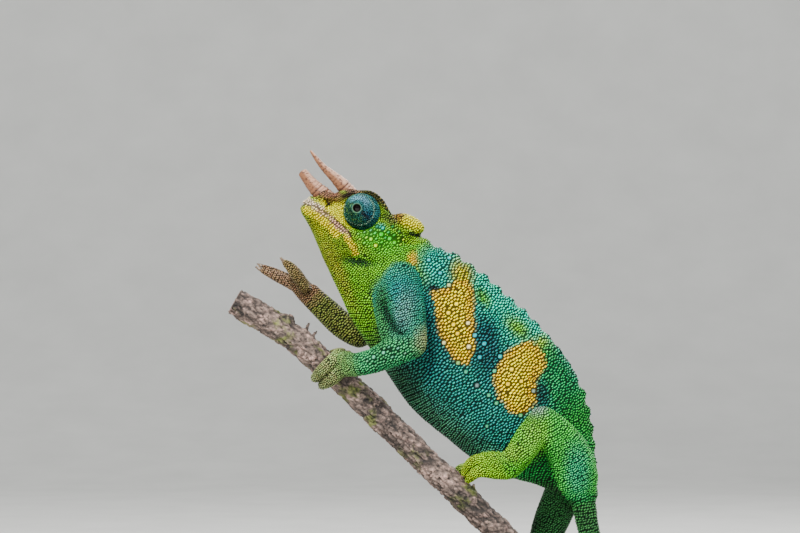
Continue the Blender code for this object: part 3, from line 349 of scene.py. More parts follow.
# Large round tubercles of the flank: place, diameter in millimetres and colour.
TUBERCLES = [
    ((456, 303.6), 2.0, "#FFE400"), ((448, 312.6), 2.0, "#FFE000"), ((453, 324), 1.9, "#FFDC00"),
    ((457, 333), 1.9, "#FFD800"), ((510.7, 368.6), 2.1, "#FFE000"), ((507, 383), 2.0, "#FFD800"),
    ((520.4, 380.3), 1.9, "#FFDC00"), ((467.6, 322.6), 2.0, "#E8DC90"), ((468.3, 346), 2.1, "#E4D898"),
    ((443.6, 342), 1.9, "#D4D088"), ((448.6, 285), 1.9, "#B8CC80"), ((457.6, 362), 1.9, "#84BC64"),
    ((532.6, 390), 2.0, "#7C9480"), ((474.3, 334.7), 2.1, "#14B0B8"), ((483.6, 343), 2.0, "#12A4AC"),
    ((479, 356.4), 2.0, "#10A0A8"), ((499.3, 355.7), 2.0, "#12ACAC"), ((493.6, 370), 1.9, "#3CB488"),
    ((465.4, 370.7), 1.9, "#30A47C"), ((488, 394), 1.9, "#34A878"), ((495.7, 402), 1.9, "#3CA470"),
    ((486.4, 425), 1.8, "#309068"), ((519.7, 414.3), 1.9, "#44AC64"), ((476.4, 384.3), 2.1, "#607C78"),
    ((428.6, 260), 1.9, "#14C4BC"), ((440, 273), 1.9, "#14B8B4"), ((449, 258), 2.0, "#14BCB4"),
    ((381.4, 234.6), 2.0, "#1CC41A"), ((371, 239.3), 1.8, "#84DC00"), ((389.6, 238.6), 1.8, "#22B818"),
    ((394.3, 242.5), 1.6, "#4CC80A"), ((364.6, 242.9), 1.5, "#5CC818"), ((381.8, 242.2), 1.5, "#34BC10"),
    ((375.8, 245.6), 1.7, "#B4E400"), ((388, 246.4), 1.4, "#54CC08"), ((375.2, 233.2), 1.5, "#30C43C"),
    ((382.9, 228), 1.6, "#14A88C"), ((388.4, 232.4), 1.4, "#22BC50"), ((398.6, 238.2), 1.3, "#84D410"),
    ((403.4, 239.6), 1.2, "#B8DC10"), ((358.6, 234), 1.3, "#74C430"), ((364.8, 232.2), 1.4, "#60B850"),
    ((377.2, 226.6), 1.5, "#1C8C60"), ((392.6, 226.8), 1.4, "#2C9C44"), ((369.5, 246.4), 1.3, "#7CDC10"),
    ((376.4, 238.8), 1.4, "#3CC82A"), ((385.4, 237.8), 1.3, "#24B444"), ((366.6, 237.6), 1.4, "#8CD81C"),
    ((394.2, 235.2), 1.4, "#3CBC2C"), ((360.2, 239.2), 1.3, "#A4D820"), ((371, 230.4), 1.3, "#3CA860"),
    ((387, 242.8), 1.2, "#5CD414"), ((394.6, 247.8), 1.2, "#74D010"), ((382.6, 249.2), 1.3, "#74D414"),
    ((399, 231.6), 1.3, "#4CB434"), ((400.6, 244.6), 1.2, "#94D814"), ((371.6, 234.6), 1.2, "#54C830"),
    ((383.7, 351.5), 1.6, "#4CBC8C"), ((374, 355.8), 1.6, "#48B884"), ((367.5, 360), 1.4, "#54B87C"),
    ((392.4, 355.8), 1.5, "#4CB884"), ((376, 364), 1.3, "#40AC6C"), ((398, 347), 1.4, "#5CBC94"),
    ((389, 346), 1.2, "#4CB484"), ((405, 352), 1.3, "#64B484"), ((384, 360), 1.2, "#44B074"),
    ((372, 192.6), 1.1, "#4A3A1C"), ((375.2, 194), 1.2, "#7A6C30"), ((378, 196.2), 1.1, "#54441C"),
    ((380.6, 198.8), 1.2, "#8C8030"), ((382.8, 201.8), 1.1, "#5C4A1C"), ((384.6, 205), 1.2, "#9C9430"),
    ((386.6, 208), 1.1, "#6A5A20"), ((389, 210.6), 1.2, "#A4A428"), ((369, 191.6), 1.0, "#6C5A34"),
]

# Base colours of the nodes of flesh, where no field lies over them.
NODE_COLOURS = {
    "head": "#8CC400", "lower_jaw": "#7CA00C", "neck": "#6CB414", "pelvis": "#1C8E38",
    "left_upper_arm": "#2A9C7C", "left_forearm": "#38AC66", "left_hand": "#74A858",
    "left_hand_outer_toes": "#98A464", "left_hand_inner_toes": "#989E60",
    "left_thigh": "#46CC44", "left_shank": "#54C41E", "left_foot": "#8CD010",
    "left_foot_outer_toes": "#A4C81A", "left_foot_inner_toes": "#8CB43C",
    "right_upper_arm": "#5A7A34", "right_forearm": "#788238", "right_hand": "#8C6C4C",
    "right_hand_outer_toes": "#A08060", "right_hand_inner_toes": "#8C7A4C",
    "right_thigh": "#2E7038", "right_shank": "#3A7A34", "right_foot": "#5A8236",
    "right_foot_outer_toes": "#66883C", "right_foot_inner_toes": "#66883C",
}
TAIL_COLOUR = "#35743A"
# The back is painted lighter and the belly darker: partly their own colours, partly painted light from above
# and painted shade beneath.
BACK_COLOUR, FLANK_COLOUR, BELLY_COLOUR = "#08DCB0", "#188A7C", "#34664A"
YELLOW_COLOURS = ("#FFDC00", "#F8C400")
GAP_COLOUR = "#06100E"
# How far the nodes' colours blend into each other, in millimetres.
BLEND = 2.2
CREST_COLOUR = "#2F9E86"

# The usual spacing of the scales on each node, in millimetres.
NODE_PITCHES = {
    "head": 0.76, "lower_jaw": 0.72, "neck": 0.8, "torso": 1.12, "pelvis": 1.0, "upper_arm": 0.86,
    "forearm": 0.95, "hand": 0.8, "toes": 0.76, "thigh": 0.92, "shank": 0.9, "foot": 0.82,
}
TAIL_PITCH, TAIL_TIP_PITCH = 1.05, 0.7
# The spacing on cheek, casque, lips, belly and forearm.
REGION_PITCHES = (0.62, 0.98, 0.95, 0.88, 1.0)
# Low cones along the crest: their spacing, width and height, and the pixels from the back's line to them.
CREST_SPACING, CREST_WIDTH, CREST_RISE = 1.95, 1.75, 0.75
CREST_OFFSET = (8, -8)
# How bright the fixed tubercles are painted on face and body, how high they stand beside other scales, and
# the share of their room that they fill.
FACE_TUBERCLE_TONE, BODY_TUBERCLE_TONE, TUBERCLE_RISE, TUBERCLE_FILL = 0.75, 0.7, 0.85, 0.88
# Where back turns to flank and flank to belly, as shares of the way down, and where a yellow patch starts
# and grows rich, as pixels inside its outline.
BACK_TO_FLANK, FLANK_TO_BELLY = (0.05, 0.4), (0.72, 0.95)
PATCH_EDGE, PATCH_MIDDLE = (-2.5, 2.0), (2, 12)
# The groove of the mouth: depth and half width. The nostril: place, half sizes and depth.
MOUTH_DEPTH, MOUTH_WIDTH = 0.45, 0.34
NOSTRIL, NOSTRIL_SIZE, NOSTRIL_DEPTH = (5.9, 6.5), (0.9, 0.65), 1.2
# A scale's painted highlight in its middle and painted shade at its foot, the foot partly its own darker
# edge:
# the usual dome, and a softer one on pale parts of the face.
TONE_SHARES, DOME_LIGHT_AND_SHADE, SOFT_LIGHT_AND_SHADE = (0.0, 0.5, 0.86, 1.0), (1.4, 1.1, 0.64, 0.02), (1.2, 1.05, 0.78, 0.1)

# The rounding of the base's rims, in millimetres.
BASE_BEVEL = 1.4
# The studio, in metres: the floor's corners, the bend up to the backdrop and its rise, where the lights
# aim, and each light's place, width, power and colour.
FLOOR = ((-3.0, -3.0), (3.0, 1.6))
BEND_RADIUS, BEND_STEPS, BACKDROP_RISE = 0.8, 16, 2.5
LIGHT_AIM = (-0.027, 0.0, 0.17)
LIGHTS = {
    "key": ((-0.5, -0.8, 1.1), 0.4, 44.0, (1.0, 0.98, 0.95)),
    "fill": ((0.9, -0.7, 0.4), 0.9, 9.0, (0.95, 0.98, 1.0)),
    "rim": ((0.5, 0.8, 0.9), 0.6, 18.0, (1.0, 1.0, 1.0)),
}
SKY_COLOUR, SKY_STRENGTH = (0.86, 0.9, 0.94, 1.0), 0.5
# The camera's place, its sensor's width in millimetres, and the width that it sees at the animal.
CAMERA_PLACE, SENSOR_WIDTH, VIEW_WIDTH = (-0.02667, -1.2, 0.1725), 36.0, 0.26667


def linear(text):
    """A colour's linear red, green and blue from its sRGB hex value."""
    parts = np.array([int(text[k:k + 2], 16) / 255 for k in (1, 3, 5)])
    return np.where(parts <= 0.04045, parts / 12.92, ((parts + 0.055) / 1.055) ** 2.4)


class SkinSettings(bpy.types.PropertyGroup):
    """The bare skin's mesh and its colour between the scales"""

    cell: FloatProperty(
        name="Cell", description="Size of the skin's mesh cells", default=0.62 * MM, unit="LENGTH",
    )
    depth: FloatProperty(
        name="Depth", description="How far the skin lies inside the solids", default=0.25 * MM,
        unit="LENGTH",
    )
    gap_colour: FloatVectorProperty(
        name="Gaps", description="Colour of the bare skin between the scales",
        default=tuple(linear(GAP_COLOUR)), subtype="COLOR", min=0.0, max=1.0,
    )


class ScaleSettings(bpy.types.PropertyGroup):
    """The scales' size, height and order"""

    size: FloatProperty(
        name="Size", description="Scale spacing as a share of the usual one", default=1.0, min=0.8, max=2.0,
    )
    height: FloatProperty(
        name="Height", description="A scale's height as a share of its radius", default=0.4,
        min=0.1, max=1.0,
    )
    sweeps: IntProperty(
        name="Sweeps", description="How often the scales are evened out", default=14, min=1, max=40,
    )


class HornSettings(bpy.types.PropertyGroup):
    """The horns' colours"""

    colour: FloatVectorProperty(
        name="Horn", description="Colour of the horns' light rings",
        default=tuple(linear("#B48C74")), subtype="COLOR", min=0.0, max=1.0,
    )
    dark: FloatVectorProperty(
        name="Grooves", description="Colour in the horns' grooves and flecks",
        default=tuple(linear("#5C3828")), subtype="COLOR", min=0.0, max=1.0,
    )


class EyeSettings(bpy.types.PropertyGroup):
    """The turrets' colours"""

    upper: FloatVectorProperty(
        name="Upper lid", description="Colour of the turret's upper half",
        default=tuple(linear("#2A7C7C")), subtype="COLOR", min=0.0, max=1.0,
    )
    lower: FloatVectorProperty(
        name="Lower lid", description="Colour of the turret's lower half",
        default=tuple(linear("#12503C")), subtype="COLOR", min=0.0, max=1.0,
    )


class WoodSettings(bpy.types.PropertyGroup):
    """The colours of bark and base"""

    bark: FloatVectorProperty(
        name="Bark", description="Main colour of the bark",
        default=tuple(linear("#6E5E56")), subtype="COLOR", min=0.0, max=1.0,
    )
    base: FloatVectorProperty(
        name="Base", description="Colour of the stand's varnished wood",
        default=tuple(linear("#4A2E1C")), subtype="COLOR", min=0.0, max=1.0,
    )


def side_view(points):
    """Where points in metres show in the photograph's frame, with the right side seen as the left is."""
    points = np.asarray(points, float) / MM
    near = CAMERA_DISTANCE / (CAMERA_DISTANCE - np.abs(points[:, 1]))
    aim_x = (AIM_PIXEL[0] - DATUM_PIXEL[0]) / PIXELS_PER_MM
    aim_z = (DATUM_PIXEL[1] - AIM_PIXEL[1]) / PIXELS_PER_MM + DATUM_HEIGHT
    u = AIM_PIXEL[0] + (points[:, 0] - aim_x) * PIXELS_PER_MM * near
    v = AIM_PIXEL[1] - (points[:, 2] - aim_z) * PIXELS_PER_MM * near
    return np.stack([u, v], axis=1)


def from_side_view(u, v):
    """X and Z in metres of a pixel on the animal's middle plane."""
    return (
        (u - DATUM_PIXEL[0]) / PIXELS_PER_MM * MM,
        ((DATUM_PIXEL[1] - v) / PIXELS_PER_MM + DATUM_HEIGHT) * MM,
    )


def smoothstep(low, high, value):
    """0 up to the low value, 1 from the high one on, and a soft step between them."""
    t = np.clip((value - low) / (high - low), 0, 1)
    return t * t * (3 - 2 * t)


def line_distance(points, line):
    """How far points of the side view are from a line of straight stretches."""
    line = np.array(line, float)
    best = np.full(len(points), np.inf)
    for a, b in zip(line, line[1:]):
        t = np.clip((points - a) @ (b - a) / ((b - a) @ (b - a)), 0, 1)
        best = np.minimum(best, np.linalg.norm(points - a - t[:, None] * (b - a), axis=1))
    return best


def outline_depth(points, outline):
    """How deep points lie inside a closed outline, negative outside it."""
    ring = np.array([*outline, outline[0]], float)
    inside = np.zeros(len(points), bool)
    for (ax, ay), (bx, by) in zip(ring, ring[1:]):
        crosses = (ay > points[:, 1]) != (by > points[:, 1])
        reach = ax + (points[:, 1] - ay) / (by - ay + 1e-9) * (bx - ax)
        inside ^= crosses & (points[:, 0] < reach)
    return np.where(inside, 1, -1) * line_distance(points, ring)


def ellipse_depth(points, centre, halves, turn):
    """1 in the middle of a turned ellipse, 0 on its edge and negative outside."""
    angle = math.radians(turn)
    along = np.array([math.cos(angle), math.sin(angle)])
    across = np.array([-along[1], along[0]])
    offset = points - np.array(centre, float)
    return 1 - np.hypot(offset @ along / halves[0], offset @ across / halves[1])


def lay_over(colours, share, colour):
    """Mixes one linear colour, or one for each place, into colours by each place's share."""
    colours += share[:, None] * (colour - colours)


def base_colours(places, find_node):
    """The nodes' own colours, blended where one meets the next, and the torso's share of each place."""
    table = np.array([
        linear(TAIL_COLOUR if name in TAIL_NODES else NODE_COLOURS.get(name, FLANK_COLOUR))
        for name in SKIN_NODES
    ])
    shifts = BLEND * MM * np.array([(0, 0, 0), (1, 0, 0), (-1, 0, 0), (0, 0, 1), (0, 0, -1)])
    found = [find_node(places + shift) for shift in shifts]
    own = np.mean([table[regions] for regions in found], axis=0)
    return own, np.mean([regions == SKIN_NODES.index("torso") for regions in found], axis=0)


def markings(places, find_node, jitter):
    """The animal's colour at each place, as linear red, green and blue."""
    seen = side_view(places) + jitter
    names_here = np.array(SKIN_NODES)[find_node(places)]
    colours, trunk = base_colours(places, find_node)
    from_back, from_belly = line_distance(seen, BACK_LINE), line_distance(seen, BELLY_LINE)
    across = from_back / (from_back + from_belly + 1e-9)
    # Lighter back, darker belly: partly their own colours, partly painted light from above and painted shade
    # beneath.
    down = smoothstep(*BACK_TO_FLANK, across)[:, None]
    low = smoothstep(*FLANK_TO_BELLY, across)[:, None]
    flank = linear(BACK_COLOUR) * (1 - down) + linear(FLANK_COLOUR) * down
    lay_over(colours, trunk, flank * (1 - low) + linear(BELLY_COLOUR) * low)
    for _, centre, halves, turn, colour, softness, carriers in FIELDS:
        mask = smoothstep(-softness, softness, ellipse_depth(seen, centre, halves, turn))
        lay_over(colours, mask * np.isin(names_here, carriers), linear(colour))
    for outline in YELLOW_PATCHES:
        depth = outline_depth(seen, outline)
        rich = smoothstep(*PATCH_MIDDLE, depth)[:, None]
        yellow = linear(YELLOW_COLOURS[1]) * (1 - rich) + linear(YELLOW_COLOURS[0]) * rich
        lay_over(colours, smoothstep(*PATCH_EDGE, depth) * trunk, yellow)
    for line, half_width, colour in LIP_ROWS:
        mask = smoothstep(half_width + 1.0, half_width - 1.0, line_distance(seen, line))
        lay_over(colours, mask * np.isin(names_here, JAWS), linear(colour))
    return colours


def paleness(colours):
    """1 for pale yellows and whites, 0 for the greens and darker colours."""
    return smoothstep(0.3, 0.75, colours[:, 0]) * smoothstep(0.2, 0.6, colours[:, 1])


def mottled(places, spacing, amount):
    """A soft random factor about 1 that changes over so many millimetres."""
    values = [noise.noise(Vector(place / (spacing * MM))) for place in places]
    return 1 + amount * np.array(values)


def merged_copy(names):
    """A bmesh of nodes' surfaces with their doubles merged."""
    bm = bmesh.new()
    for name in names:
        part = bmesh.new()
        part.from_mesh(NODES[name].data)
        bmesh.ops.remove_doubles(part, verts=part.verts[:], dist=1e-6)
        bmesh.ops.recalc_face_normals(part, faces=part.faces[:])
        mesh = bpy.data.meshes.new("part")
        part.to_mesh(mesh)
        part.free()
        bm.from_mesh(mesh)
        bpy.data.meshes.remove(mesh)
    return bm


def new_object(name, bm):
    """A smooth-shaded object of the bmesh, in the scene. The bmesh is freed."""
    mesh = bpy.data.meshes.new(name)
    bm.to_mesh(mesh)
    bm.free()
    made = bpy.data.objects.new(name, mesh)
    bpy.context.scene.collection.objects.link(made)
    mesh.shade_smooth()
    return made


def add_modifier(obj, name, kind, **settings):
    """Adds a modifier with its settings."""
    modifier = obj.modifiers.new(name, kind)
    for key, value in settings.items():
        setattr(modifier, key, value)


def bake_modifiers(obj):
    """Applies the object's modifiers to its mesh."""
    bpy.context.view_layer.update()
    graph = bpy.context.evaluated_depsgraph_get()
    mesh = bpy.data.meshes.new_from_object(obj.evaluated_get(graph), depsgraph=graph)
    obj.modifiers.clear()
    obj.data = mesh


def place_piece(obj, slot, surface, *replaced):
    """Gives a finished piece its material and its body, and hides the nodes that it replaces. The slot is
    not used.
    """
    obj.data.materials.clear()
    obj.data.materials.append(surface)
    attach(obj, "root")
    if replaced:
        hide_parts(*replaced)


def add_node(tree, kind, settings=None, **links):
    """A node with its settings, and its inputs set to values or linked to other nodes' outputs.

    An input is given by its name, or as i and its number.
    """
    node = tree.nodes.new(kind)
    for key, value in (settings or {}).items():
        setattr(node, key, value)
    for key, value in links.items():
        socket = node.inputs[int(key[1:])] if key[0] == "i" and key[1:].isdigit() else node.inputs[key]
        if isinstance(value, bpy.types.NodeSocket):
            tree.links.new(value, socket)
        else:
            socket.default_value = value
    return node


def new_material(name):
    """An empty node material with its shader and output."""
    made = bpy.data.materials.new(name)
    made.use_nodes = True
    made.node_tree.nodes.clear()
    shader = made.node_tree.nodes.new("ShaderNodeBsdfPrincipled")
    output = made.node_tree.nodes.new("ShaderNodeOutputMaterial")
    made.node_tree.links.new(shader.outputs["BSDF"], output.inputs["Surface"])
    return made, made.node_tree, shader


def grain(tree, per_mm, detail=3.0, roughness=0.55, vector=None):
    """Noise with so many bumps to the millimetre, on Object coordinates where no other are given."""
    if vector is None:
        vector = add_node(tree, "ShaderNodeTexCoord").outputs["Object"]
    node = add_node(
        tree, "ShaderNodeTexNoise", None, Vector=vector, Scale=per_mm / MM, Detail=detail,
        Roughness=roughness,
    )
    return node.outputs["Fac"]


def drawn_out(tree, scale, lean=0.0):
    """Object coordinates turned about Y by so many degrees and scaled, for patterns longer one way."""
    coordinates = add_node(tree, "ShaderNodeTexCoord")
    node = add_node(
        tree, "ShaderNodeMapping", None, Vector=coordinates.outputs["Object"],
        Rotation=(0.0, math.radians(lean), 0.0), Scale=scale,
    )
    return node.outputs["Vector"]


def ramp(tree, factor, stops):
    """A colour ramp: stops are places and linear colours, or single numbers for greys."""
    node = add_node(tree, "ShaderNodeValToRGB", None, Fac=factor)
    elements = node.color_ramp.elements
    while len(elements) < len(stops):
        elements.new(0.5)
    for element, (place, colour) in zip(elements, stops):
        element.position = place
        element.color = (*np.broadcast_to(colour, 3), 1.0)
    return node.outputs["Color"]


def multiplied(tree, first, second, share=1.0):
    """The first colour, turned by a share towards its product with the second."""
    node = add_node(
        tree, "ShaderNodeMix", {"data_type": "RGBA", "blend_type": "MULTIPLY"}, i0=share, i6=first,
        i7=second,
    )
    return node.outputs[2]


def attribute(tree, name, output="Color"):
    """A mesh attribute's colour, or its value with the output Fac."""
    return add_node(tree, "ShaderNodeAttribute", {"attribute_name": name}).outputs[output]


def bumped(tree, shader, height, strength, depth):
    """Gives the shader a bump of so many millimetres."""
    bump = add_node(tree, "ShaderNodeBump", None, Height=height, Strength=strength, Distance=depth * MM)
    tree.links.new(bump.outputs["Normal"], shader.inputs["Normal"])


def scale_keratin(name):
    """Reptile scale, thin keratin over pigment: a satin bead with a small soft highlight on each dome."""
    made, tree, shader = new_material(name)
    light = ramp(tree, grain(tree, 1.1), [(0.3, 0.65), (0.7, 1.25)])
    # The tint carries each dome's painted highlight and painted shade.
    tree.links.new(multiplied(tree, attribute(tree, "tint"), light), shader.inputs["Base Color"])
    bumped(tree, shader, grain(tree, 3.5), 0.25, 0.05)
    shader.inputs["Roughness"].default_value = 0.3
    shader.inputs["Specular IOR Level"].default_value = 0.15
    return made


def bare_skin(name):
    """Thin dark skin that shows as a net of grooves between the scales."""
    made, tree, shader = new_material(name)
    tree.links.new(attribute(tree, "tint"), shader.inputs["Base Color"])
    bumped(tree, shader, grain(tree, 2.5), 0.5, 0.15)
    shader.inputs["Roughness"].default_value = 0.7
    shader.inputs["Specular IOR Level"].default_value = 0.05
    return made


def horn_keratin(settings):
    """Solid horn, worn satin: pale and pinkish above, darker and browner beneath as painted shade, with dark
    specks in loose rings.
    """
    made, tree, shader = new_material("horn_keratin")
    height = attribute(tree, "relief", "Fac")
    base = ramp(tree, height, [(0.15, tuple(settings.dark)), (0.42, tuple(settings.colour))])
    # Painted shade: faces turned away from the light above are made darker and browner.
    coordinates = add_node(tree, "ShaderNodeTexCoord")
    facing = add_node(
        tree, "ShaderNodeVectorMath", {"operation": "DOT_PRODUCT"}, i0=coordinates.outputs["Normal"],
        i1=(0.7, 0.0, 0.7),
    )
    under = ramp(tree, facing.outputs["Value"], [(0.0, (0.42, 0.3, 0.2)), (0.45, 1.0)])
    specks = grain(tree, 1.5, 2.0, 0.5, drawn_out(tree, (0.75, 1.0, 1.25), 47))
    speck = ramp(tree, specks, [(0.36, (0.2, 0.12, 0.12)), (0.46, 1.0)])
    mixed = multiplied(tree, multiplied(tree, base, under), speck, 0.9)
    tree.links.new(mixed, shader.inputs["Base Color"])
    bumped(tree, shader, grain(tree, 2.0), 0.3, 0.12)
    shader.inputs["Roughness"].default_value = 0.55
    shader.inputs["Specular IOR Level"].default_value = 0.3
    return made


def claw_keratin():
    """Smooth dark claw horn: the usual small glint of a polished tip."""
    made, tree, shader = new_material("claw_keratin")
    tone = ramp(tree, grain(tree, 0.8), [(0.3, linear("#2E241C")), (0.7, linear("#7A6650"))])
    tree.links.new(tone, shader.inputs["Base Color"])
    shader.inputs["Roughness"].default_value = 0.3
    return made


def wet_pupil():
    """The wet front of the eye: near black with a faint glint."""
    made, tree, shader = new_material("wet_pupil")
    tone = ramp(tree, grain(tree, 2.0), [(0.4, linear("#040404")), (0.7, linear("#0C0806"))])
    tree.links.new(tone, shader.inputs["Base Color"])
    shader.inputs["Roughness"].default_value = 0.05
    shader.inputs["Specular IOR Level"].default_value = 0.2
    return made


def weathered_bark(settings):
    """Thin weathered bark: grey-brown plates over darker cracks, dry and matt. The dark cracks and low
    places are partly painted shade, the high places partly painted highlight.
    """
    made, tree, shader = new_material("weathered_bark")
    bark = np.array(settings.bark)
    along = drawn_out(tree, (0.42, 1.0, 1.0), -44)
    warp = add_node(tree, "ShaderNodeTexNoise", None, Vector=along, Scale=0.35 / MM, Detail=3.0)
    bent = add_node(
        tree, "ShaderNodeVectorMath", {"operation": "MULTIPLY_ADD"}, i0=warp.outputs["Color"],
        i1=(3.0 * MM,) * 3, i2=along,
    ).outputs["Vector"]
    plates = grain(tree, 0.5, 8.0, 0.7, bent)
    # The plates' tone follows the noise that also makes their bump: darker where low, lighter where high,
    # partly painted shade and highlight.
    tone = ramp(tree, plates, [
        (0.36, bark * 0.2), (0.46, bark * 0.7), (0.54, bark * 1.3),
        (0.66, bark * np.array([2.8, 2.5, 2.55])),
    ])
    # Darker along the cracks: partly their own colour, partly painted shade.
    cracks = add_node(
        tree, "ShaderNodeTexVoronoi", {"feature": "DISTANCE_TO_EDGE"}, Vector=bent, Scale=0.55 / MM,
    )
    crack = ramp(tree, cracks.outputs["Distance"], [(0.01, 0.1), (0.08, 1.0)])
    moss = ramp(tree, grain(tree, 0.16, 5.0), [(0.56, 0.0), (0.66, 0.85)])
    grown = add_node(
        tree, "ShaderNodeMix", {"data_type": "RGBA"}, i0=moss, i6=multiplied(tree, tone, crack, 0.45),
        i7=(*linear("#5A6424"), 1.0),
    )
    tree.links.new(
        multiplied(tree, grown.outputs[2], attribute(tree, "tint")), shader.inputs["Base Color"],
    )
    bumped(tree, shader, plates, 0.7, 0.6)
    shader.inputs["Roughness"].default_value = 0.85
    return made


def varnished_wood(settings):
    """Dark turned hardwood under satin varnish: long grain with a soft clear reflection."""
    made, tree, shader = new_material("varnished_wood")
    base = np.array(settings.base)
    lines = grain(tree, 0.45, 6.0, 0.6, drawn_out(tree, (0.08, 1.0, 1.0)))
    tone = ramp(tree, lines, [(0.35, base * 0.45), (0.5, base), (0.7, base * 1.6)])
    tree.links.new(tone, shader.inputs["Base Color"])
    bumped(tree, shader, lines, 0.12, 0.1)
    shader.inputs["Roughness"].default_value = 0.32
    shader.inputs["Coat Weight"].default_value = 0.4
    return made


def brushed_steel():
    """Turned stainless steel, brushed round the rod: fine streaks in a grey reflection."""
    made, tree, shader = new_material("brushed_steel")
    streaks = grain(tree, 0.6, 3.0, 0.5, drawn_out(tree, (1.0, 1.0, 12.0)))
    tone = ramp(tree, streaks, [(0.3, (0.42, 0.42, 0.43)), (0.7, (0.62, 0.62, 0.64))])
    tree.links.new(tone, shader.inputs["Base Color"])
    tree.links.new(ramp(tree, streaks, [(0.3, 0.22), (0.7, 0.38)]), shader.inputs["Roughness"])
    shader.inputs["Metallic"].default_value = 1.0
    return made


def studio_paper():
    """Matt seamless paper: an even pale ground."""
    made, tree, shader = new_material("studio_paper")
    tone = ramp(tree, grain(tree, 0.02), [(0.3, linear("#DEDEDA")), (0.7, linear("#E6E6E2"))])
    tree.links.new(tone, shader.inputs["Base Color"])
    shader.inputs["Roughness"].default_value = 0.9
    return made


def vertex_places(mesh):
    """The mesh's vertices as rows of X, Y and Z."""
    places = np.empty(len(mesh.vertices) * 3)
    mesh.vertices.foreach_get("co", places)
    return places.reshape(-1, 3)


def vertex_normals(mesh):
    """The normals at the mesh's vertices as rows."""
    normals = np.empty(len(mesh.vertices) * 3)
    mesh.vertices.foreach_get("normal", normals)
    return normals.reshape(-1, 3)


def move_points(mesh, places):
    """Puts the mesh's points at new places."""
    mesh.vertices.foreach_set("co", places.ravel())
    mesh.update()
    mesh.shade_smooth()


def triangles_of(mesh):
    """The mesh's triangles as rows of vertex numbers."""
    mesh.calc_loop_triangles()
    corners = np.empty(len(mesh.loop_triangles) * 3, np.int32)
    mesh.loop_triangles.foreach_get("vertices", corners)
    return corners.reshape(-1, 3)


def surface_tree(mesh):
    """The mesh as a tree for finding the nearest place on it."""
    return BVHTree.FromPolygons(vertex_places(mesh).tolist(), triangles_of(mesh).tolist())


def point_tree(points):
    """The points as a balanced tree."""
    tree = KDTree(len(points))
    for number, point in enumerate(points):
        tree.insert(point, number)
    tree.balance()
    return tree


def node_finder():
    """A function that gives the number of the skin's node nearest to each place."""
    places, corners, owners, start = [], [], [], 0
    for number, name in enumerate(SKIN_NODES):
        mesh = NODES[name].data
        tris = triangles_of(mesh)
        places.append(vertex_places(mesh))
        corners.append(tris + start)
        owners.append(np.full(len(tris), number))
        start += len(mesh.vertices)
    tree = BVHTree.FromPolygons(np.concatenate(places).tolist(), np.concatenate(corners).tolist())
    owners = np.concatenate(owners)
    return lambda points: owners[[tree.find_nearest(point)[2] for point in points]]


def paint_points(mesh, colours):
    """Stores one linear colour for each vertex as the attribute tint."""
    attribute = mesh.color_attributes.new("tint", "FLOAT_COLOR", "POINT")
    rows = np.ones((len(mesh.vertices), 4), np.float32)
    rows[:, :3] = colours
    attribute.data.foreach_set("color", rows.ravel())


def smooth_rows(rows, step):
    """Rows read about one step apart from a smooth curve through the given ones."""
    rows = np.array(rows, float)
    knots = np.concatenate([[0], np.cumsum(np.linalg.norm(np.diff(rows[:, :3], axis=0), axis=1))])
    at = np.linspace(0, knots[-1], max(3, round(knots[-1] / step) + 1))
    slopes = np.gradient(rows, knots, axis=0)
    i = np.clip(np.searchsorted(knots, at, "right") - 1, 0, len(knots) - 2)
    h = (knots[i + 1] - knots[i])[:, None]
    t = ((at - knots[i]) / h[:, 0])[:, None]
    return (
        (2 * t**3 - 3 * t**2 + 1) * rows[i] + (t**3 - 2 * t**2 + t) * h * slopes[i]
        + (3 * t**2 - 2 * t**3) * rows[i + 1] + (t**3 - t**2) * h * slopes[i + 1]
    )


def on_branch(at, turn, lift, along=0.0):
    """A place round the branch: 0 degrees is its upper side, 90 the animal's left and -90 its right."""
    line = smooth_rows([(x, 0.0, z) for x, z in BRANCH_LINE], 1.0)
    i = int(np.argmin(np.abs(line[:, 0] - at)))
    tangent = line[i + 1] - line[i - 1]
    tangent = tangent / np.linalg.norm(tangent)
    upper = np.array([-tangent[2], 0.0, tangent[0]])
    angle = math.radians(turn)
    out = upper * math.cos(angle) - LATERAL * math.sin(angle)
    return line[i] + tangent * along + out * (BRANCH_RADIUS + lift)


def toe_lines():
    """Every toe's rows of X, Y, Z and radius, in lists under the name of its node."""
    lines = {}
    for name, (grip, turns, radii, toes) in CURLED_TOES.items():
        shares = np.linspace(0, 1, len(turns))
        lines[name] = [
            [
                (*on_branch(grip, turn, radius + 0.15, start + (end - start) * share), radius)
                for turn, radius, share in zip(turns, radii, shares)
            ]
            for start, end in toes
        ]
    return {**lines, **FREE_TOES}


def tail_line():
    """The tail's rows, down from the pelvis and round its tightening curl."""
    rows = [(x, 0.0, z, radius) for x, z, radius in TAIL]
    last = TAIL[-1][2]
    count = round(CURL_TURNS * CURL_ROWS)
    for k in range(1, count + 1):
        angle = k * 2 * math.pi / CURL_ROWS
        radius = CURL_RADIUS * math.exp(-CURL_TIGHTENING * angle)
        x, z = CURL_CENTRE[0] + radius * math.cos(angle), CURL_CENTRE[1] - radius * math.sin(angle)
        rows.append((x, CURL_LEAN * angle, z, last + (TAIL_TIP - last) * (k / count) ** 0.8))
    return rows


def along_line(points, rows):
    """For points in metres: millimetres travelled along a line of rows, its direction, and the distance."""
    fine = smooth_rows(rows, 0.4)[:, :3] + np.array([0.0, 0.0, DATUM_HEIGHT])
    travelled = np.concatenate([[0], np.cumsum(np.linalg.norm(np.diff(fine, axis=0), axis=1))])
    tangents = np.gradient(fine, axis=0)
    tangents /= np.linalg.norm(tangents, axis=1)[:, None]
    tree = point_tree(fine)
    found = [tree.find(place) for place in points / MM]
    numbers = np.array([hit[1] for hit in found])
    spans = np.array([hit[2] for hit in found])
    beyond = np.einsum("ij,ij->i", points / MM - fine[numbers], tangents[numbers])
    return travelled[numbers] + beyond, tangents[numbers], spans


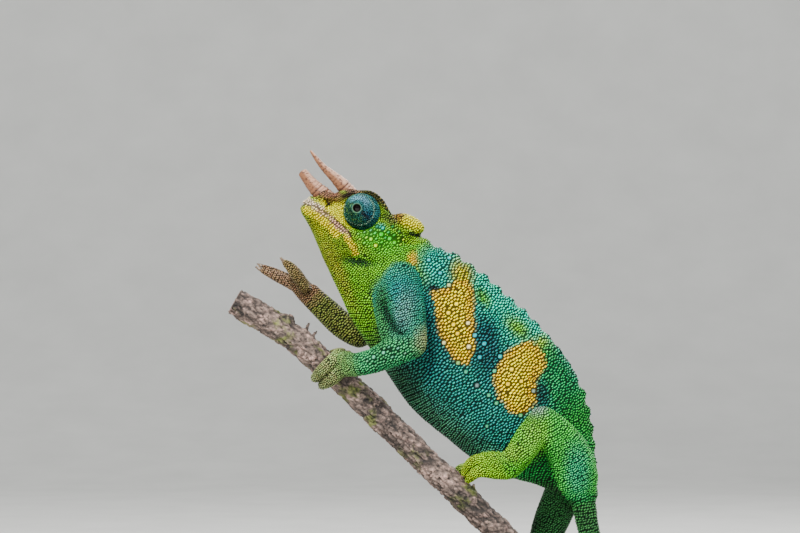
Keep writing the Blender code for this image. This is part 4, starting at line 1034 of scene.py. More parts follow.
def travelled_beside(seen, line):
    """How far along a side-view line the nearest point of it lies, in pixels, and the line's length."""
    line = np.array(line, float)
    lengths = np.linalg.norm(np.diff(line, axis=0), axis=1)
    starts = np.concatenate([[0], np.cumsum(lengths)])
    best, at = np.full(len(seen), np.inf), np.zeros(len(seen))
    for a, b, start, length in zip(line, line[1:], starts, lengths):
        t = np.clip((seen - a) @ (b - a) / length**2, 0, 1)
        span = np.linalg.norm(seen - a - t[:, None] * (b - a), axis=1)
        nearer = span < best
        best[nearer], at[nearer] = span[nearer], start + t[nearer] * length
    return at, starts[-1], best


def trunk_rows(places):
    """A count in millimetres that grows along the trunk, the same from back to belly."""
    seen = side_view(places)
    on_back, back_length, from_back = travelled_beside(seen, BACK_LINE)
    on_belly, belly_length, from_belly = travelled_beside(seen, BELLY_LINE)
    across = from_back / (from_back + from_belly + 1e-9)
    share = (1 - across) * on_back / back_length + across * on_belly / belly_length
    return share * (back_length + belly_length) / 2 / PIXELS_PER_MM


def scale_rows(places, names_here):
    """The rows of scales: each place's row number, not rounded, and the pull towards the next row in mm."""
    count, pull = np.zeros(len(places)), np.zeros(len(places))
    spacing = np.full(len(places), 0.85)
    direction = np.tile(HEAD_UP, (len(places), 1))
    trunk = np.isin(names_here, COAT_GROUPS["trunk"])
    here = places[trunk]
    step = 0.3 * MM
    count[trunk] = trunk_rows(here)
    slope = np.stack([
        trunk_rows(here + [step, 0, 0]) - count[trunk], np.zeros(len(here)),
        trunk_rows(here + [0, 0, step]) - count[trunk],
    ], axis=1)
    direction[trunk] = slope / np.maximum(np.linalg.norm(slope, axis=1), 1e-6)[:, None]
    pull[trunk] = 0.7 * smoothstep(*BELLY_ROWS, line_distance(side_view(here), BELLY_LINE))
    throat = np.isin(names_here, ("lower_jaw", "neck"))
    count[throat], pull[throat] = ((places[throat] / MM - SNOUT) @ HEAD_UP), 0.6
    for name in set(names_here) - {*FACE, *COAT_GROUPS["trunk"]}:
        mine = names_here == name
        spacing[mine] = usual_pitch(name) * math.sqrt(0.75)
        if name.startswith("tail"):
            count[mine], direction[mine], _ = along_line(places[mine], tail_line())
        elif name.endswith("toes"):
            best = np.full(mine.sum(), np.inf)
            toe_count, toe_way = np.zeros(mine.sum()), np.zeros((mine.sum(), 3))
            for line in toe_lines()[name]:
                travelled, way, span = along_line(places[mine], line)
                nearer = span < best
                best[nearer] = span[nearer]
                toe_count[nearer], toe_way[nearer] = travelled[nearer], way[nearer]
            count[mine], direction[mine] = toe_count, toe_way
        else:
            axis = limb_axis(name)
            count[mine], direction[mine] = places[mine] / MM @ axis, axis
        pull[mine] = 0.55 if name.endswith("toes") or name.startswith("tail") else 0.3
    return count / spacing, direction * (spacing * pull)[:, None]


def limb_axis(name):
    """The long direction of a node's solid."""
    points = vertex_places(NODES[name].data)
    _, _, ways = np.linalg.svd(points - points.mean(axis=0), full_matrices=False)
    return ways[0]


def head_place(points):
    """Distance behind the snout, level above the mouth line and sideways, in millimetres."""
    offset = points / MM - SNOUT
    return offset @ HEAD_BACK, offset @ HEAD_UP, offset[:, 1]


def mouth_offset(points):
    """Millimetres above or below the line where the jaws meet, large beyond its end, and the level."""
    back, up, _ = head_place(points)
    away = np.abs(up - np.interp(back, *np.array(MOUTH_LINE).T))
    return away + 9 * (1 - smoothstep(24.5, 22.5, back) * (back > -4)), up


def sculpted(points, normals, names_here):
    """The skin with mouth line, nostrils and folds sunk in, back and horn collars raised, knuckles flat."""
    back, up, side = head_place(points)
    on_head = np.isin(names_here, FACE)
    depth = -MOUTH_DEPTH * np.exp(-(mouth_offset(points)[0] / MOUTH_WIDTH) ** 2) * on_head
    nostril = np.hypot((back - NOSTRIL[0]) / NOSTRIL_SIZE[0], (up - NOSTRIL[1]) / NOSTRIL_SIZE[1])
    depth -= NOSTRIL_DEPTH * np.exp(-nostril ** 2) * smoothstep(2.5, 3.5, np.abs(side)) * on_head
    seen = side_view(points)
    for line, half_width, fall, carriers in FOLDS:
        outwards = smoothstep(0.0, 0.5, np.abs(normals[:, 1]))
        fold = np.exp(-(line_distance(seen, line) / half_width) ** 2) * outwards
        depth -= fall * fold * np.isin(names_here, carriers)
    on_back, _, from_back = travelled_beside(seen, BACK_LINE)
    middle = np.exp(-(points[:, 1] / MM / 1.7) ** 2) * smoothstep(12, 4, from_back)
    depth += LOBE_LIFT * middle * np.cos(2 * math.pi * on_back / PIXELS_PER_MM / LOBE_SPACING)
    moved = points + normals * depth[:, None] * MM
    knuckles = np.isin(names_here, ("left_hand", "left_hand_inner_toes"))
    pressed = KNUCKLE_PRESS * knuckles * np.maximum(KNUCKLE_LEVEL - seen[:, 1], 0)
    moved[:, 2] -= pressed / PIXELS_PER_MM * MM
    for rows in (NOSE_HORN, BROW_HORN, [(x, -y, z, radius) for x, y, z, radius in BROW_HORN]):
        foot, ahead = (np.array(row[:3]) for row in rows[1:3])
        ahead = (ahead - foot) / np.linalg.norm(ahead - foot)
        offset = points / MM - [0, 0, DATUM_HEIGHT] - foot
        along = offset @ ahead
        beside = np.linalg.norm(offset - np.outer(along, ahead), axis=1)
        collar = smoothstep(1.7, 1.0, beside / rows[1][3]) * smoothstep(-4.0, -1.5, along) * on_head
        moved += np.outer(collar * COLLAR_LIFT * MM, ahead)
    return moved


def toes_parted(points, normals, names_here):
    """Presses a groove into the skin between one toe and the next."""
    moved = points.copy()
    for name, lines in toe_lines().items():
        palm = name.rsplit("_", 2)[0]
        near = np.flatnonzero(np.isin(names_here, (name, palm)))
        spans = np.sort([along_line(points[near], line)[2] for line in lines], axis=0)
        radius = lines[0][-1][3]
        between = np.exp(-((spans[1] - spans[0]) / TOE_GROOVE_WIDTH) ** 2)
        between = between * smoothstep(2.4, 1.5, spans[0] / radius / 1.2)
        moved[near] -= normals[near] * between[:, None] * TOE_GROOVE_DEPTH * MM
    return moved


class CHAMELEON_OT_skin(bpy.types.Operator):
    """Builds one skin over all the nodes of flesh"""

    bl_idname = "chameleon.skin"
    bl_label = "Skin"

    def execute(self, context):
        settings = context.scene.chameleon_skin
        bm = merged_copy(SKIN_NODES)
        back, up, lateral, radius = HORN_FOOT
        for side in (-1.0, 1.0):
            place = (SNOUT + HEAD_BACK * back + HEAD_UP * up + LATERAL * lateral * side) * MM
            bmesh.ops.create_icosphere(
                bm, subdivisions=3, radius=radius * MM, matrix=Matrix.Translation(place),
            )
        skin = new_object("skin", bm)
        add_modifier(skin, "close_gaps", "DISPLACE", strength=0.22 * MM, mid_level=0.0)
        add_modifier(skin, "one_skin", "REMESH", mode="VOXEL", voxel_size=settings.cell)
        add_modifier(skin, "flesh", "SMOOTH", factor=0.5, iterations=8)
        add_modifier(skin, "coat_depth", "DISPLACE", strength=-settings.depth, mid_level=0.0)
        bake_modifiers(skin)
        mesh = skin.data
        find_node = node_finder()
        names_here = np.array(SKIN_NODES)[find_node(vertex_places(mesh))]
        parted = toes_parted(vertex_places(mesh), vertex_normals(mesh), names_here)
        move_points(mesh, sculpted(parted, vertex_normals(mesh), names_here))
        places = vertex_places(mesh)
        colours = markings(places, find_node, 0.0)
        on_head = np.isin(names_here, FACE)
        # Painted shade along the mouth line: the skin in the crease where the jaws meet stays darker than
        # elsewhere on the pale face.
        lip = np.exp(-(mouth_offset(places)[0] / 0.3) ** 2)
        cheek = smoothstep(-0.3, 0.3, ellipse_depth(side_view(places), *CHEEK_SKIN)) * on_head
        share = 0.04 + 0.08 * paleness(colours) * on_head * (1 - 0.8 * lip) + 0.05 * cheek
        paint_points(mesh, share[:, None] * colours + 0.4 * np.array(settings.gap_colour))
        place_piece(skin, "skin", bare_skin("bare_skin"), *SKIN_NODES)
        return {"FINISHED"}


def usual_pitch(name):
    """The usual spacing of a node's scales, in millimetres."""
    if name.startswith("tail"):
        return np.interp(int(name[-1]), [1, 7], [TAIL_PITCH, TAIL_TIP_PITCH])
    return NODE_PITCHES[next(key for key in NODE_PITCHES if name == key or name.endswith(key))]


def usual_pitches(places, regions):
    """The spacing of the scales at each place, in millimetres."""
    pitches = np.array([usual_pitch(name) for name in SKIN_NODES])[regions]
    seen = side_view(places)
    names_here = np.array(SKIN_NODES)[regions]
    head = names_here == "head"
    cheek = smoothstep(-0.2, 0.3, ellipse_depth(seen, *CHEEK)) * head
    casque = smoothstep(-0.3, 0.2, ellipse_depth(seen, *CASQUE)) * head
    lips = np.min([line_distance(seen, line) - half_width for line, half_width, _ in LIP_ROWS], axis=0)
    labial = smoothstep(1.0, -1.0, lips) * np.isin(names_here, JAWS)
    trunk = np.isin(names_here, ("torso", "neck"))
    belly = smoothstep(*BELLY_FINE, line_distance(seen, BELLY_LINE)) * trunk
    forearm = smoothstep(*FOREARM_LARGE, line_distance(seen, FOREARM_LINE)) * (names_here == "left_forearm")
    for share, pitch in zip((cheek, casque, labial, belly, forearm), REGION_PITCHES):
        pitches += share * (pitch - pitches)
    return pitches * mottled(places, 1.6, 0.34)


def neighbours_of(places, normals, count):
    """Each place's nearest others on the same side of the skin: their numbers, and distances in metres."""
    tree = point_tree(places)
    rows = [tree.find_n(place, count + 1) for place in places]
    numbers = np.array([[found[1] for found in row[1:]] for row in rows])
    spans = np.array([[found[2] for found in row[1:]] for row in rows])
    alike = np.einsum("ijk,ik->ij", normals[numbers], normals) > 0.25
    return numbers, np.where(alike, spans, 1.0)


def project(tree, places):
    """The nearest places on a surface, and its normals there."""
    found = [tree.find_nearest(place) for place in places]
    return np.array([hit[0] for hit in found]), np.array([hit[1] for hit in found])


def crowding(places, fixed, fixed_pitches, pitches):
    """How far each place reaches into the nearest fixed scale's room, in metres, and the way out."""
    if not len(fixed):
        return np.zeros(len(places)), np.zeros((len(places), 3))
    tree = point_tree(fixed)
    found = [tree.find(place) for place in places]
    numbers, spans = np.array([hit[1] for hit in found]), np.array([hit[2] for hit in found])
    way = (places - fixed[numbers]) / np.maximum(spans, 1e-6)[:, None]
    return 0.47 * (fixed_pitches[numbers] + pitches) - spans, way


def scattered(mesh, pitch_at, fixed, fixed_pitches, sweeps, random, rows_at):
    """Scale places evened out over a surface and drawn into rows: places, normals and spacings in metres."""
    tree = surface_tree(mesh)
    points, corners = vertex_places(mesh), triangles_of(mesh)
    a, b, c = (points[corners[:, k]] for k in range(3))
    areas = np.linalg.norm(np.cross(b - a, c - a), axis=1) / 2
    shares = areas / (math.sqrt(0.75) * (pitch_at((a + b + c) / 3) * MM) ** 2)
    count = int(shares.sum())
    chosen = random.choice(len(corners), count, p=shares / shares.sum())
    u, v = random.random((2, count))
    flip = u + v > 1
    u, v = np.where(flip, 1 - u, u)[:, None], np.where(flip, 1 - v, v)[:, None]
    places = a[chosen] + u * (b - a)[chosen] + v * (c - a)[chosen]
    held = len(fixed)
    places = places[crowding(places, fixed, fixed_pitches, pitch_at(places) * MM)[0] <= 0]
    places = np.concatenate([fixed, places])
    for sweep in range(sweeps + 1):
        places, normals = project(tree, places)
        if sweep % 4 == 0 or sweep == sweeps:
            pitches = pitch_at(places) * MM
            pitches[:held] = fixed_pitches
        if sweep == sweeps:
            return places, normals, pitches
        numbers, spans = neighbours_of(places, normals, 7)
        reach = 0.58 * (pitches[:, None] + pitches[numbers])
        push = np.clip(1 - spans / reach, 0, None)
        away = (places[:, None] - places[numbers]) / np.maximum(spans, 1e-6)[..., None]
        step = (away * (push * reach)[..., None]).sum(axis=1) * 0.45
        if sweep % 2 == 0 and sweep > 2:
            number, to_next = rows_at(places)
            step += to_next * (np.round(number) - number)[:, None] * MM
        step[:held] = 0
        places = places + step
        lack, way = crowding(places[held:], fixed, fixed_pitches, pitches[held:])
        places[held:] += way * np.maximum(lack, 0)[:, None]


def raised(bm, top, foot):
    """Extrudes faces and gives the new faces and vertices. The old faces stay only as the foot of a body."""
    made = bmesh.ops.extrude_face_region(bm, geom=top)["geom"]
    if not foot:
        bmesh.ops.delete(bm, geom=top, context="FACES_ONLY")
    faces = [item for item in made if isinstance(item, bmesh.types.BMFace)]
    return faces, [item for item in made if isinstance(item, bmesh.types.BMVert)]


def turn_outwards(bm):
    """Turns every face of closed bodies outwards."""
    bm.normal_update()
    bmesh.ops.recalc_face_normals(bm, faces=bm.faces[:])


def scale_template(sides, rings):
    """One scale as a low closed dome of unit size. A ring is its share of the radius and its level."""
    bm = bmesh.new()
    bmesh.ops.create_circle(bm, segments=sides, radius=1.0, cap_ends=True)
    top = bm.faces[:]
    inner = 1.0
    for k, (share, level) in enumerate(rings):
        top, verts = raised(bm, top, k == 0)
        bmesh.ops.scale(bm, vec=(share / inner, share / inner, 0.0), verts=verts)
        bmesh.ops.translate(bm, vec=(0, 0, level), verts=verts)
        inner = share
    bmesh.ops.poke(bm, faces=top)
    tip = min(bm.verts, key=lambda vert: math.hypot(vert.co.x, vert.co.y))
    tip.co = (0.0, 0.0, 1.0)
    turn_outwards(bm)
    mesh = bpy.data.meshes.new("scale_template")
    bm.to_mesh(mesh)
    bm.free()
    return mesh


def frames_of(normals):
    """Two directions along the skin at each normal."""
    lie = np.array([0.62, 0.0, -0.78])
    first = lie - normals * (normals @ lie)[:, None]
    weak = np.linalg.norm(first, axis=1) < 0.05
    first[weak] = np.cross(normals[weak], [0.0, 1.0, 0.0])
    first /= np.linalg.norm(first, axis=1)[:, None]
    return first, np.cross(normals, first)


def outlines(places, normals, pitches, numbers, spans, roundness, sides):
    """Each scale's radius in so many directions, held clear of its neighbours."""
    first, second = frames_of(normals)
    offsets = places[numbers] - places[:, None]
    x = np.einsum("ijk,ik->ij", offsets, first)
    y = np.einsum("ijk,ik->ij", offsets, second)
    bearing = np.arctan2(y, x)
    share = pitches[:, None] / (pitches[:, None] + pitches[numbers])
    border = np.where(spans < 0.5, np.hypot(x, y) * share, 1.0)
    turns = np.arange(sides) * 2 * math.pi / sides
    slope = np.cos(turns[None, :, None] - bearing[:, None, :])
    reach = np.where(slope > 0.1, border[:, None, :] / np.maximum(slope, 0.1), 1.0)
    radii = np.minimum(reach.min(axis=2), 0.6 * pitches[:, None])
    bead = np.minimum(1.14 * radii.min(axis=1), 0.95 * radii.mean(axis=1))[:, None]
    return radii * (1 - roundness)[:, None] + bead * roundness[:, None]


def joined_scales(name, template, coat, roots, fill, softness):
    """One mesh of many scales: template copies set on their places, painted and mapped.

    The coat is the scales' places, normals, radii, heights and colours. A scale's patch of the map OFBake
    lies round its root. Fill is the share of its room that a scale takes, and softness is how far pale
    scales take the softer painted highlight and shade, from 0 to 1. Each scale gets a painted highlight in
    its middle and painted shade at its foot.
    """
    places, normals, radii, heights, colours = coat
    shape = vertex_places(template)
    share = np.hypot(shape[:, 0], shape[:, 1])
    sides = radii.shape[1]
    turn = np.round(np.arctan2(shape[:, 1], shape[:, 0]) / (2 * math.pi / sides)).astype(int) % sides
    first, second = frames_of(normals)
    spread = radii[:, turn] * share * fill
    angle = turn * 2 * math.pi / sides
    points = (
        places[:, None]
        + first[:, None] * (spread * np.cos(angle))[..., None]
        + second[:, None] * (spread * np.sin(angle))[..., None]
        + normals[:, None] * (heights[:, None] * shape[:, 2])[..., None]
    )
    corners = np.empty(len(template.loops), np.int32)
    template.loops.foreach_get("vertex_index", corners)
    starts = np.empty(len(template.polygons), np.int32)
    template.polygons.foreach_get("loop_start", starts)
    count, size = len(places), len(shape)
    mesh = bpy.data.meshes.new(name)
    mesh.vertices.add(count * size)
    mesh.vertices.foreach_set("co", points.ravel())
    mesh.loops.add(count * len(corners))
    all_corners = (corners[None] + np.arange(count)[:, None] * size).ravel()
    mesh.loops.foreach_set("vertex_index", all_corners)
    mesh.polygons.add(count * len(starts))
    all_starts = (starts[None] + np.arange(count)[:, None] * len(corners)).ravel()
    mesh.polygons.foreach_set("loop_start", all_starts)
    mesh.update(calc_edges=True)
    mesh.validate()
    # Painted light on each dome: a highlight in its middle and shade towards its foot, partly the scale's
    # own darker edge.
    shade = np.interp(share, TONE_SHARES, DOME_LIGHT_AND_SHADE)
    soft = np.interp(share, TONE_SHARES, SOFT_LIGHT_AND_SHADE)
    shades = shade + (paleness(colours) * softness)[:, None] * (soft - shade)
    paint_points(mesh, np.minimum(colours[:, None] * shades[..., None], 1.0).reshape(-1, 3))
    layer = mesh.uv_layers.new(name="OFBake")
    patch = np.stack([share * np.cos(angle), share * np.sin(angle)], axis=1) * PATCH_RADIUS
    layer.data.foreach_set("uv", (roots[:, None] + patch[corners][None]).ravel().astype(np.float32))
    mesh.shade_smooth()
    made = bpy.data.objects.new(name, mesh)
    bpy.context.scene.collection.objects.link(made)
    return made


def unwrapped_copy(source, cell):
    """A copy of a surface, unwrapped: its tree, its triangles' places and their map places.

    With a cell size the copy is made coarse first.
    """
    coarse = source.copy()
    coarse.data = source.data.copy()
    coarse.name = "coarse"
    bpy.context.scene.collection.objects.link(coarse)
    if cell:
        add_modifier(coarse, "coarse", "REMESH", mode="VOXEL", voxel_size=cell)
        bake_modifiers(coarse)
    for other in bpy.context.selected_objects:
        other.select_set(False)
    bpy.context.view_layer.objects.active = coarse
    coarse.select_set(True)
    bpy.ops.object.mode_set(mode="EDIT")
    bpy.ops.mesh.select_all(action="SELECT")
    bpy.ops.uv.smart_project(angle_limit=math.radians(66), island_margin=0.002)
    bpy.ops.object.mode_set(mode="OBJECT")
    mesh = coarse.data
    corners = triangles_of(mesh)
    loops = np.empty(len(corners) * 3, np.int32)
    mesh.loop_triangles.foreach_get("loops", loops)
    uvs = np.empty(len(mesh.loops) * 2)
    mesh.uv_layers.active.data.foreach_get("uv", uvs)
    tree = surface_tree(mesh)
    triangle_places = vertex_places(mesh)[corners]
    triangle_uvs = uvs.reshape(-1, 2)[loops.reshape(-1, 3)]
    bpy.data.objects.remove(coarse, do_unlink=True)
    return tree, triangle_places, triangle_uvs


def map_places(unwrapped, places):
    """Where each place lies on the unwrapped copy's map."""
    tree, triangle_places, triangle_uvs = unwrapped
    found = [tree.find_nearest(place) for place in places]
    numbers = np.array([hit[2] for hit in found])
    hits = np.array([hit[0] for hit in found])
    a, b, c = (triangle_places[numbers, k] for k in range(3))
    whole = np.cross(b - a, c - a)
    area = np.einsum("ij,ij->i", whole, whole) + 1e-30
    wb = np.einsum("ij,ij->i", np.cross(hits - a, c - a), whole) / area
    wc = np.einsum("ij,ij->i", np.cross(b - a, hits - a), whole) / area
    weights = np.stack([1 - wb - wc, wb, wc], axis=1)
    return np.einsum("ij,ijk->ik", weights, triangle_uvs[numbers])


def tubercle_places(mesh):
    """The large tubercles of both flanks and the cones of the crest: places, widths, colours, heights."""
    tree = surface_tree(mesh)
    rows = []
    for (u, v), size, colour in TUBERCLES:
        x, z = from_side_view(u, v)
        for side in (-1.0, 1.0):
            hit = tree.ray_cast(Vector((x, side * 0.06, z)), Vector((0.0, -side, 0.0)))
            if hit[0] is not None:
                rows.append((hit[0], size * MM, linear(colour), TUBERCLE_RISE))
    line = np.array(BACK_LINE[1:], float)
    lengths = np.concatenate([[0], np.cumsum(np.linalg.norm(np.diff(line, axis=0), axis=1))])
    count = int(lengths[-1] / PIXELS_PER_MM / CREST_SPACING)
    for k, at in enumerate(np.linspace(0, lengths[-1], count)):
        u, v = np.interp(at, lengths, line[:, 0]), np.interp(at, lengths, line[:, 1])
        x, z = from_side_view(u + CREST_OFFSET[0], v + CREST_OFFSET[1])
        hit = tree.find_nearest(Vector((x, 0.0, z)))
        large = 1.0 if k % 2 == 0 else 0.72
        width = CREST_WIDTH * large * (1.0 - 0.35 * k / count) * MM
        rows.append((hit[0], width, linear(CREST_COLOUR), CREST_RISE * (1 + large)))
    return tuple(np.array(column) for column in zip(*rows))


class CHAMELEON_OT_scales(bpy.types.Operator):
    """Covers the skin with scales, sized and coloured by where they grow"""

    bl_idname = "chameleon.scales"
    bl_label = "Scales"

    def execute(self, context):
        settings = context.scene.chameleon_scales
        random = np.random.default_rng(SEED)
        skin = bpy.data.objects["skin"]
        find_node = node_finder()

        def pitch_at(places):
            return usual_pitches(places, find_node(places)) * settings.size

        def rows_at(places):
            return scale_rows(places, np.array(SKIN_NODES)[find_node(places)])

        fixed, fixed_pitches, fixed_colours, fixed_rises = tubercle_places(skin.data)
        held = len(fixed)
        places, normals, pitches = scattered(
            skin.data, pitch_at, fixed, fixed_pitches, settings.sweeps, random, rows_at,
        )
        names_here = np.array(SKIN_NODES)[find_node(places)]
        kept = ~((mouth_offset(places)[0] < MOUTH_GAP) & np.isin(names_here, JAWS))
        kept[:held] = True
        places, normals, pitches, names_here = (
            rows[kept] for rows in (places, normals, pitches, names_here)
        )
        numbers, spans = neighbours_of(places, normals, 10)
        facial = np.isin(names_here[:held], ("head", "neck"))
        roundness = np.where(np.isin(names_here, ("torso", "pelvis", "left_forearm")), 0.75, 0.55)
        roundness[:held] = np.where(facial, 0.8, 0.92)
        colours = markings(places, find_node, random.normal(0, 0.8, (len(places), 2)))
        colours *= (mottled(places, 7.0, 0.35) * random.uniform(0.75, 1.25, len(places)))[:, None]
        colours *= random.uniform(0.9, 1.1, (len(places), 3))
        tone = np.where(facial, FACE_TUBERCLE_TONE, BODY_TUBERCLE_TONE)
        colours[:held] = fixed_colours * tone[:, None]
        rises = settings.height * random.uniform(0.85, 1.15, len(places))
        rises[:held] *= fixed_rises
        roots = map_places(unwrapped_copy(skin, 2.2 * MM), places)
        surface = scale_keratin("scale_keratin")
        large = pitches > PLATE_PITCH * MM
        sunk = places - normals * SINK * MM
        for kind, (sides, rings) in SCALE_SHAPES.items():
            template = scale_template(sides, rings)
            template.calc_loop_triangles()
            most = MOST_TRIANGLES // len(template.loop_triangles)
            radii = outlines(places, normals, pitches, numbers, spans, roundness, sides)
            radii[:held] *= TUBERCLE_FILL
            heights = radii.mean(axis=1) * rises + SINK * MM
            for group, members in COAT_GROUPS.items():
                chosen = np.flatnonzero(np.isin(names_here, members) & (large == (kind == "plates")))
                if not len(chosen):
                    continue
                softness = 0.6 if group == "head" and kind == "scales" else 0.25
                for k, part in enumerate(np.array_split(chosen, math.ceil(len(chosen) / most))):
                    coat = [rows[part] for rows in (sunk, normals, radii, heights, colours)]
                    made = joined_scales(
                        f"{group}_{kind}_{k + 1}", template, coat, roots[part], 0.97, softness,
                    )
                    place_piece(made, "skin", surface)
        return {"FINISHED"}


def eye_frame(side):
    """The middle of a turret's widest ring, in millimetres."""
    back, up, lateral = EYE_CENTRE
    return SNOUT + HEAD_BACK * back + HEAD_UP * up + LATERAL * lateral * side


def turret_shell(name, side):
    """The lid of one eye, turned from its outline and leant towards the snout.

    It is built face by face, because the granules are drawn from its triangles and their order has to be
    the same in each run.
    """
    bm = bmesh.new()
    centre = eye_frame(side)
    turn = np.array([HEAD_BACK, HEAD_UP, LATERAL * side])

    def vertex(along, radius, angle):
        place = centre + np.array([radius * math.cos(angle), radius * math.sin(angle), along]) @ turn
        return bm.verts.new((place - HEAD_BACK * TURRET_LEAN * max(0.0, along)) * MM)

    angles = np.arange(TURRET_SIDES) * 2 * math.pi / TURRET_SIDES
    rings = [[vertex(along, radius, angle) for angle in angles] for along, radius in TURRET_PROFILE]
    for ring, after in zip(rings, rings[1:]):
        for k in range(TURRET_SIDES):
            bm.faces.new((ring[k - 1], ring[k], after[k], after[k - 1]))
    for ring, (along, _) in ((rings[0], TURRET_PROFILE[0]), (rings[-1], TURRET_PROFILE[-1])):
        pole = vertex(along, 0.0, 0.0)
        for k in range(TURRET_SIDES):
            bm.faces.new((ring[k - 1], ring[k], pole))
    turn_outwards(bm)
    return new_object(name, bm)


def turret_colours(places, side, settings, random):
    """Blue above, green below, a dark smear behind the pupil and pale rings near the rim."""
    offset = places / MM - eye_frame(side)
    back = offset @ HEAD_BACK + TURRET_LEAN * np.maximum(offset[:, 1] * side, 0)
    up = offset @ HEAD_UP
    radius = np.hypot(back, up)
    level = smoothstep(-2.5, 3.0, up + random.normal(0, 0.5, len(places)))
    colours = np.array(settings.lower) * (1 - level)[:, None] + np.array(settings.upper) * level[:, None]
    # A painted highlight: a pale blue arc on the lid's upper side.
    arc = smoothstep(1.3, 0.4, np.abs(radius - 3.5)) * smoothstep(-0.5, 2.5, up)
    smear = np.exp(-((up + 0.1 * back) / 0.6) ** 2) * smoothstep(1.7, 2.2, back)
    rings = smoothstep(0.5, 0.9, np.sin(radius * 2 * math.pi / RIM_SPACING))
    shares = {
        "dots": (random.uniform(size=len(places)) < 0.3) * (radius < 4.2) * (level < 0.6),
        "arc": arc * smoothstep(3.5, 0.5, back),
        "behind": np.exp(-(np.hypot(back - 3.4, up - 0.2) / 1.5) ** 2),
        "rim": rings * smoothstep(4.2, 5.0, radius),
        "smear": smear * smoothstep(5.2, 4.0, back),
        "ring": smoothstep(1.72, 1.55, radius),
        "edge": smoothstep(1.42, 1.34, radius),
    }
    for name, (strength, colour) in TURRET_MARKINGS.items():
        lay_over(colours, shares[name] * strength, linear(colour))
    return colours


class CHAMELEON_OT_eyes(bpy.types.Operator):
    """Builds the granular turrets and gives the pupils their wet look"""

    bl_idname = "chameleon.eyes"
    bl_label = "Eyes"

    def execute(self, context):
        settings = context.scene.chameleon_eyes
        random = np.random.default_rng(SEED + 1)
        shell_surface, granule_surface = bare_skin("turret_skin"), scale_keratin("turret_granules")
        template = scale_template(*GRANULE_SHAPE)
        pupil = wet_pupil()
        for side, name in ((-1.0, "left"), (1.0, "right")):
            shell = turret_shell(f"{name}_turret", side)
            mesh = shell.data

            def turret_radius(places):
                offset = places / MM - eye_frame(side)
                outward = np.maximum(offset[:, 1] * side, 0)
                return np.hypot(offset @ HEAD_BACK + TURRET_LEAN * outward, offset @ HEAD_UP), offset

            def pitch_at(places):
                return np.interp(turret_radius(places)[0], *GRANULE_PITCHES)

            def rows_at(places):
                radius, offset = turret_radius(places)
                way = offset - np.outer(offset @ LATERAL, LATERAL)
                way /= np.maximum(np.linalg.norm(way, axis=1), 1e-6)[:, None]
                return radius / TURRET_ROWS, way * TURRET_ROWS * 0.6

            none = np.zeros((0, 3))
            places, normals, pitches = scattered(mesh, pitch_at, none, none[:, 0], 12, random, rows_at)
            outward = (places[:, 1] / MM - eye_frame(side)[1]) * side
            kept = (outward > -0.35) & ((normals[:, 1] * side > -0.3) | (outward < 1.0))
            kept &= turret_radius(places)[0] > 1.62
            places, normals, pitches = places[kept], normals[kept], pitches[kept]
            numbers, spans = neighbours_of(places, normals, 8)
            radii = outlines(places, normals, pitches, numbers, spans, np.full(len(places), 0.6), 6)
            colours = turret_colours(places, side, settings, random)
            colours *= random.uniform(0.5, 1.6, len(places))[:, None]
            roots = map_places(unwrapped_copy(shell, None), places)
            coat = (places, normals, radii, radii.mean(axis=1) * 0.6, colours)
            granules = joined_scales(f"{name}_turret_granules", template, coat, roots, 0.93, 0.0)
            place_piece(granules, "eye_turret", granule_surface)
            bare = smoothstep(1.8, 1.6, turret_radius(vertex_places(mesh))[0])[:, None] * 0.8 + 0.05
            paint_points(mesh, bare * turret_colours(vertex_places(mesh), side, settings, random))
            place_piece(shell, "eye_turret", shell_surface, f"{name}_eye_turret")
            eye = NODES[f"{name}_eye"]
            eye.data.materials.clear()
            eye.data.materials.append(pupil)
        return {"FINISHED"}


def sweep(bm, rows, sides, step, scale_at=None, blunt=1.0):
    """Adds a closed round body along a smooth line of X, Y, Z and radius rows, with a rounded end.

    Scale_at gives the radius's factor at a distance along the line. Blunt is how far the rounded end
    reaches, as a share of the last radius.
    """
    rows = smooth_rows(rows, step)
    travelled = np.concatenate([[0], np.cumsum(np.linalg.norm(np.diff(rows[:, :3], axis=0), axis=1))])
    tangents = np.gradient(rows[:, :3], axis=0)
    last = rows[-1]
    ahead = tangents[-1] / np.linalg.norm(tangents[-1])
    rounded = [
        (*(last[:3] + ahead * last[3] * blunt * math.sin(angle)), last[3] * math.cos(angle))
        for angle in ROUNDED_END
    ]
    rows = np.vstack([rows, rounded])
    tangents = np.vstack([tangents, [ahead] * len(rounded)])
    travelled = np.concatenate([travelled, travelled[-1] + last[3] * np.sin(ROUNDED_END)])
    relief = bm.verts.layers.float.get("relief") or bm.verts.layers.float.new("relief")
    verts = bmesh.ops.create_circle(bm, segments=sides, radius=1.0, cap_ends=True)["verts"]
    top = [face for face in bm.faces if all(vert in verts for vert in face.verts)]
    now = Matrix.Identity(4)
    for k, (row, tangent, distance) in enumerate(zip(rows, tangents, travelled)):
        turn = Vector(tangent).to_track_quat("Z", "Y").to_matrix().to_4x4()
        factor = scale_at(distance) if scale_at else 1.0
        size = max(row[3] * factor, 0.02)
        place = Matrix.Translation(Vector((row[0], row[1], row[2] + DATUM_HEIGHT)) * MM)
        target = place @ turn @ Matrix.Scale(size * MM, 4)
        if k:
            top, verts = raised(bm, top, k == 1)
        bmesh.ops.transform(bm, matrix=target @ now.inverted(), verts=verts)
        for vert in verts:
            vert[relief] = 0.5 + (factor - 1.0) * 6
        now = target


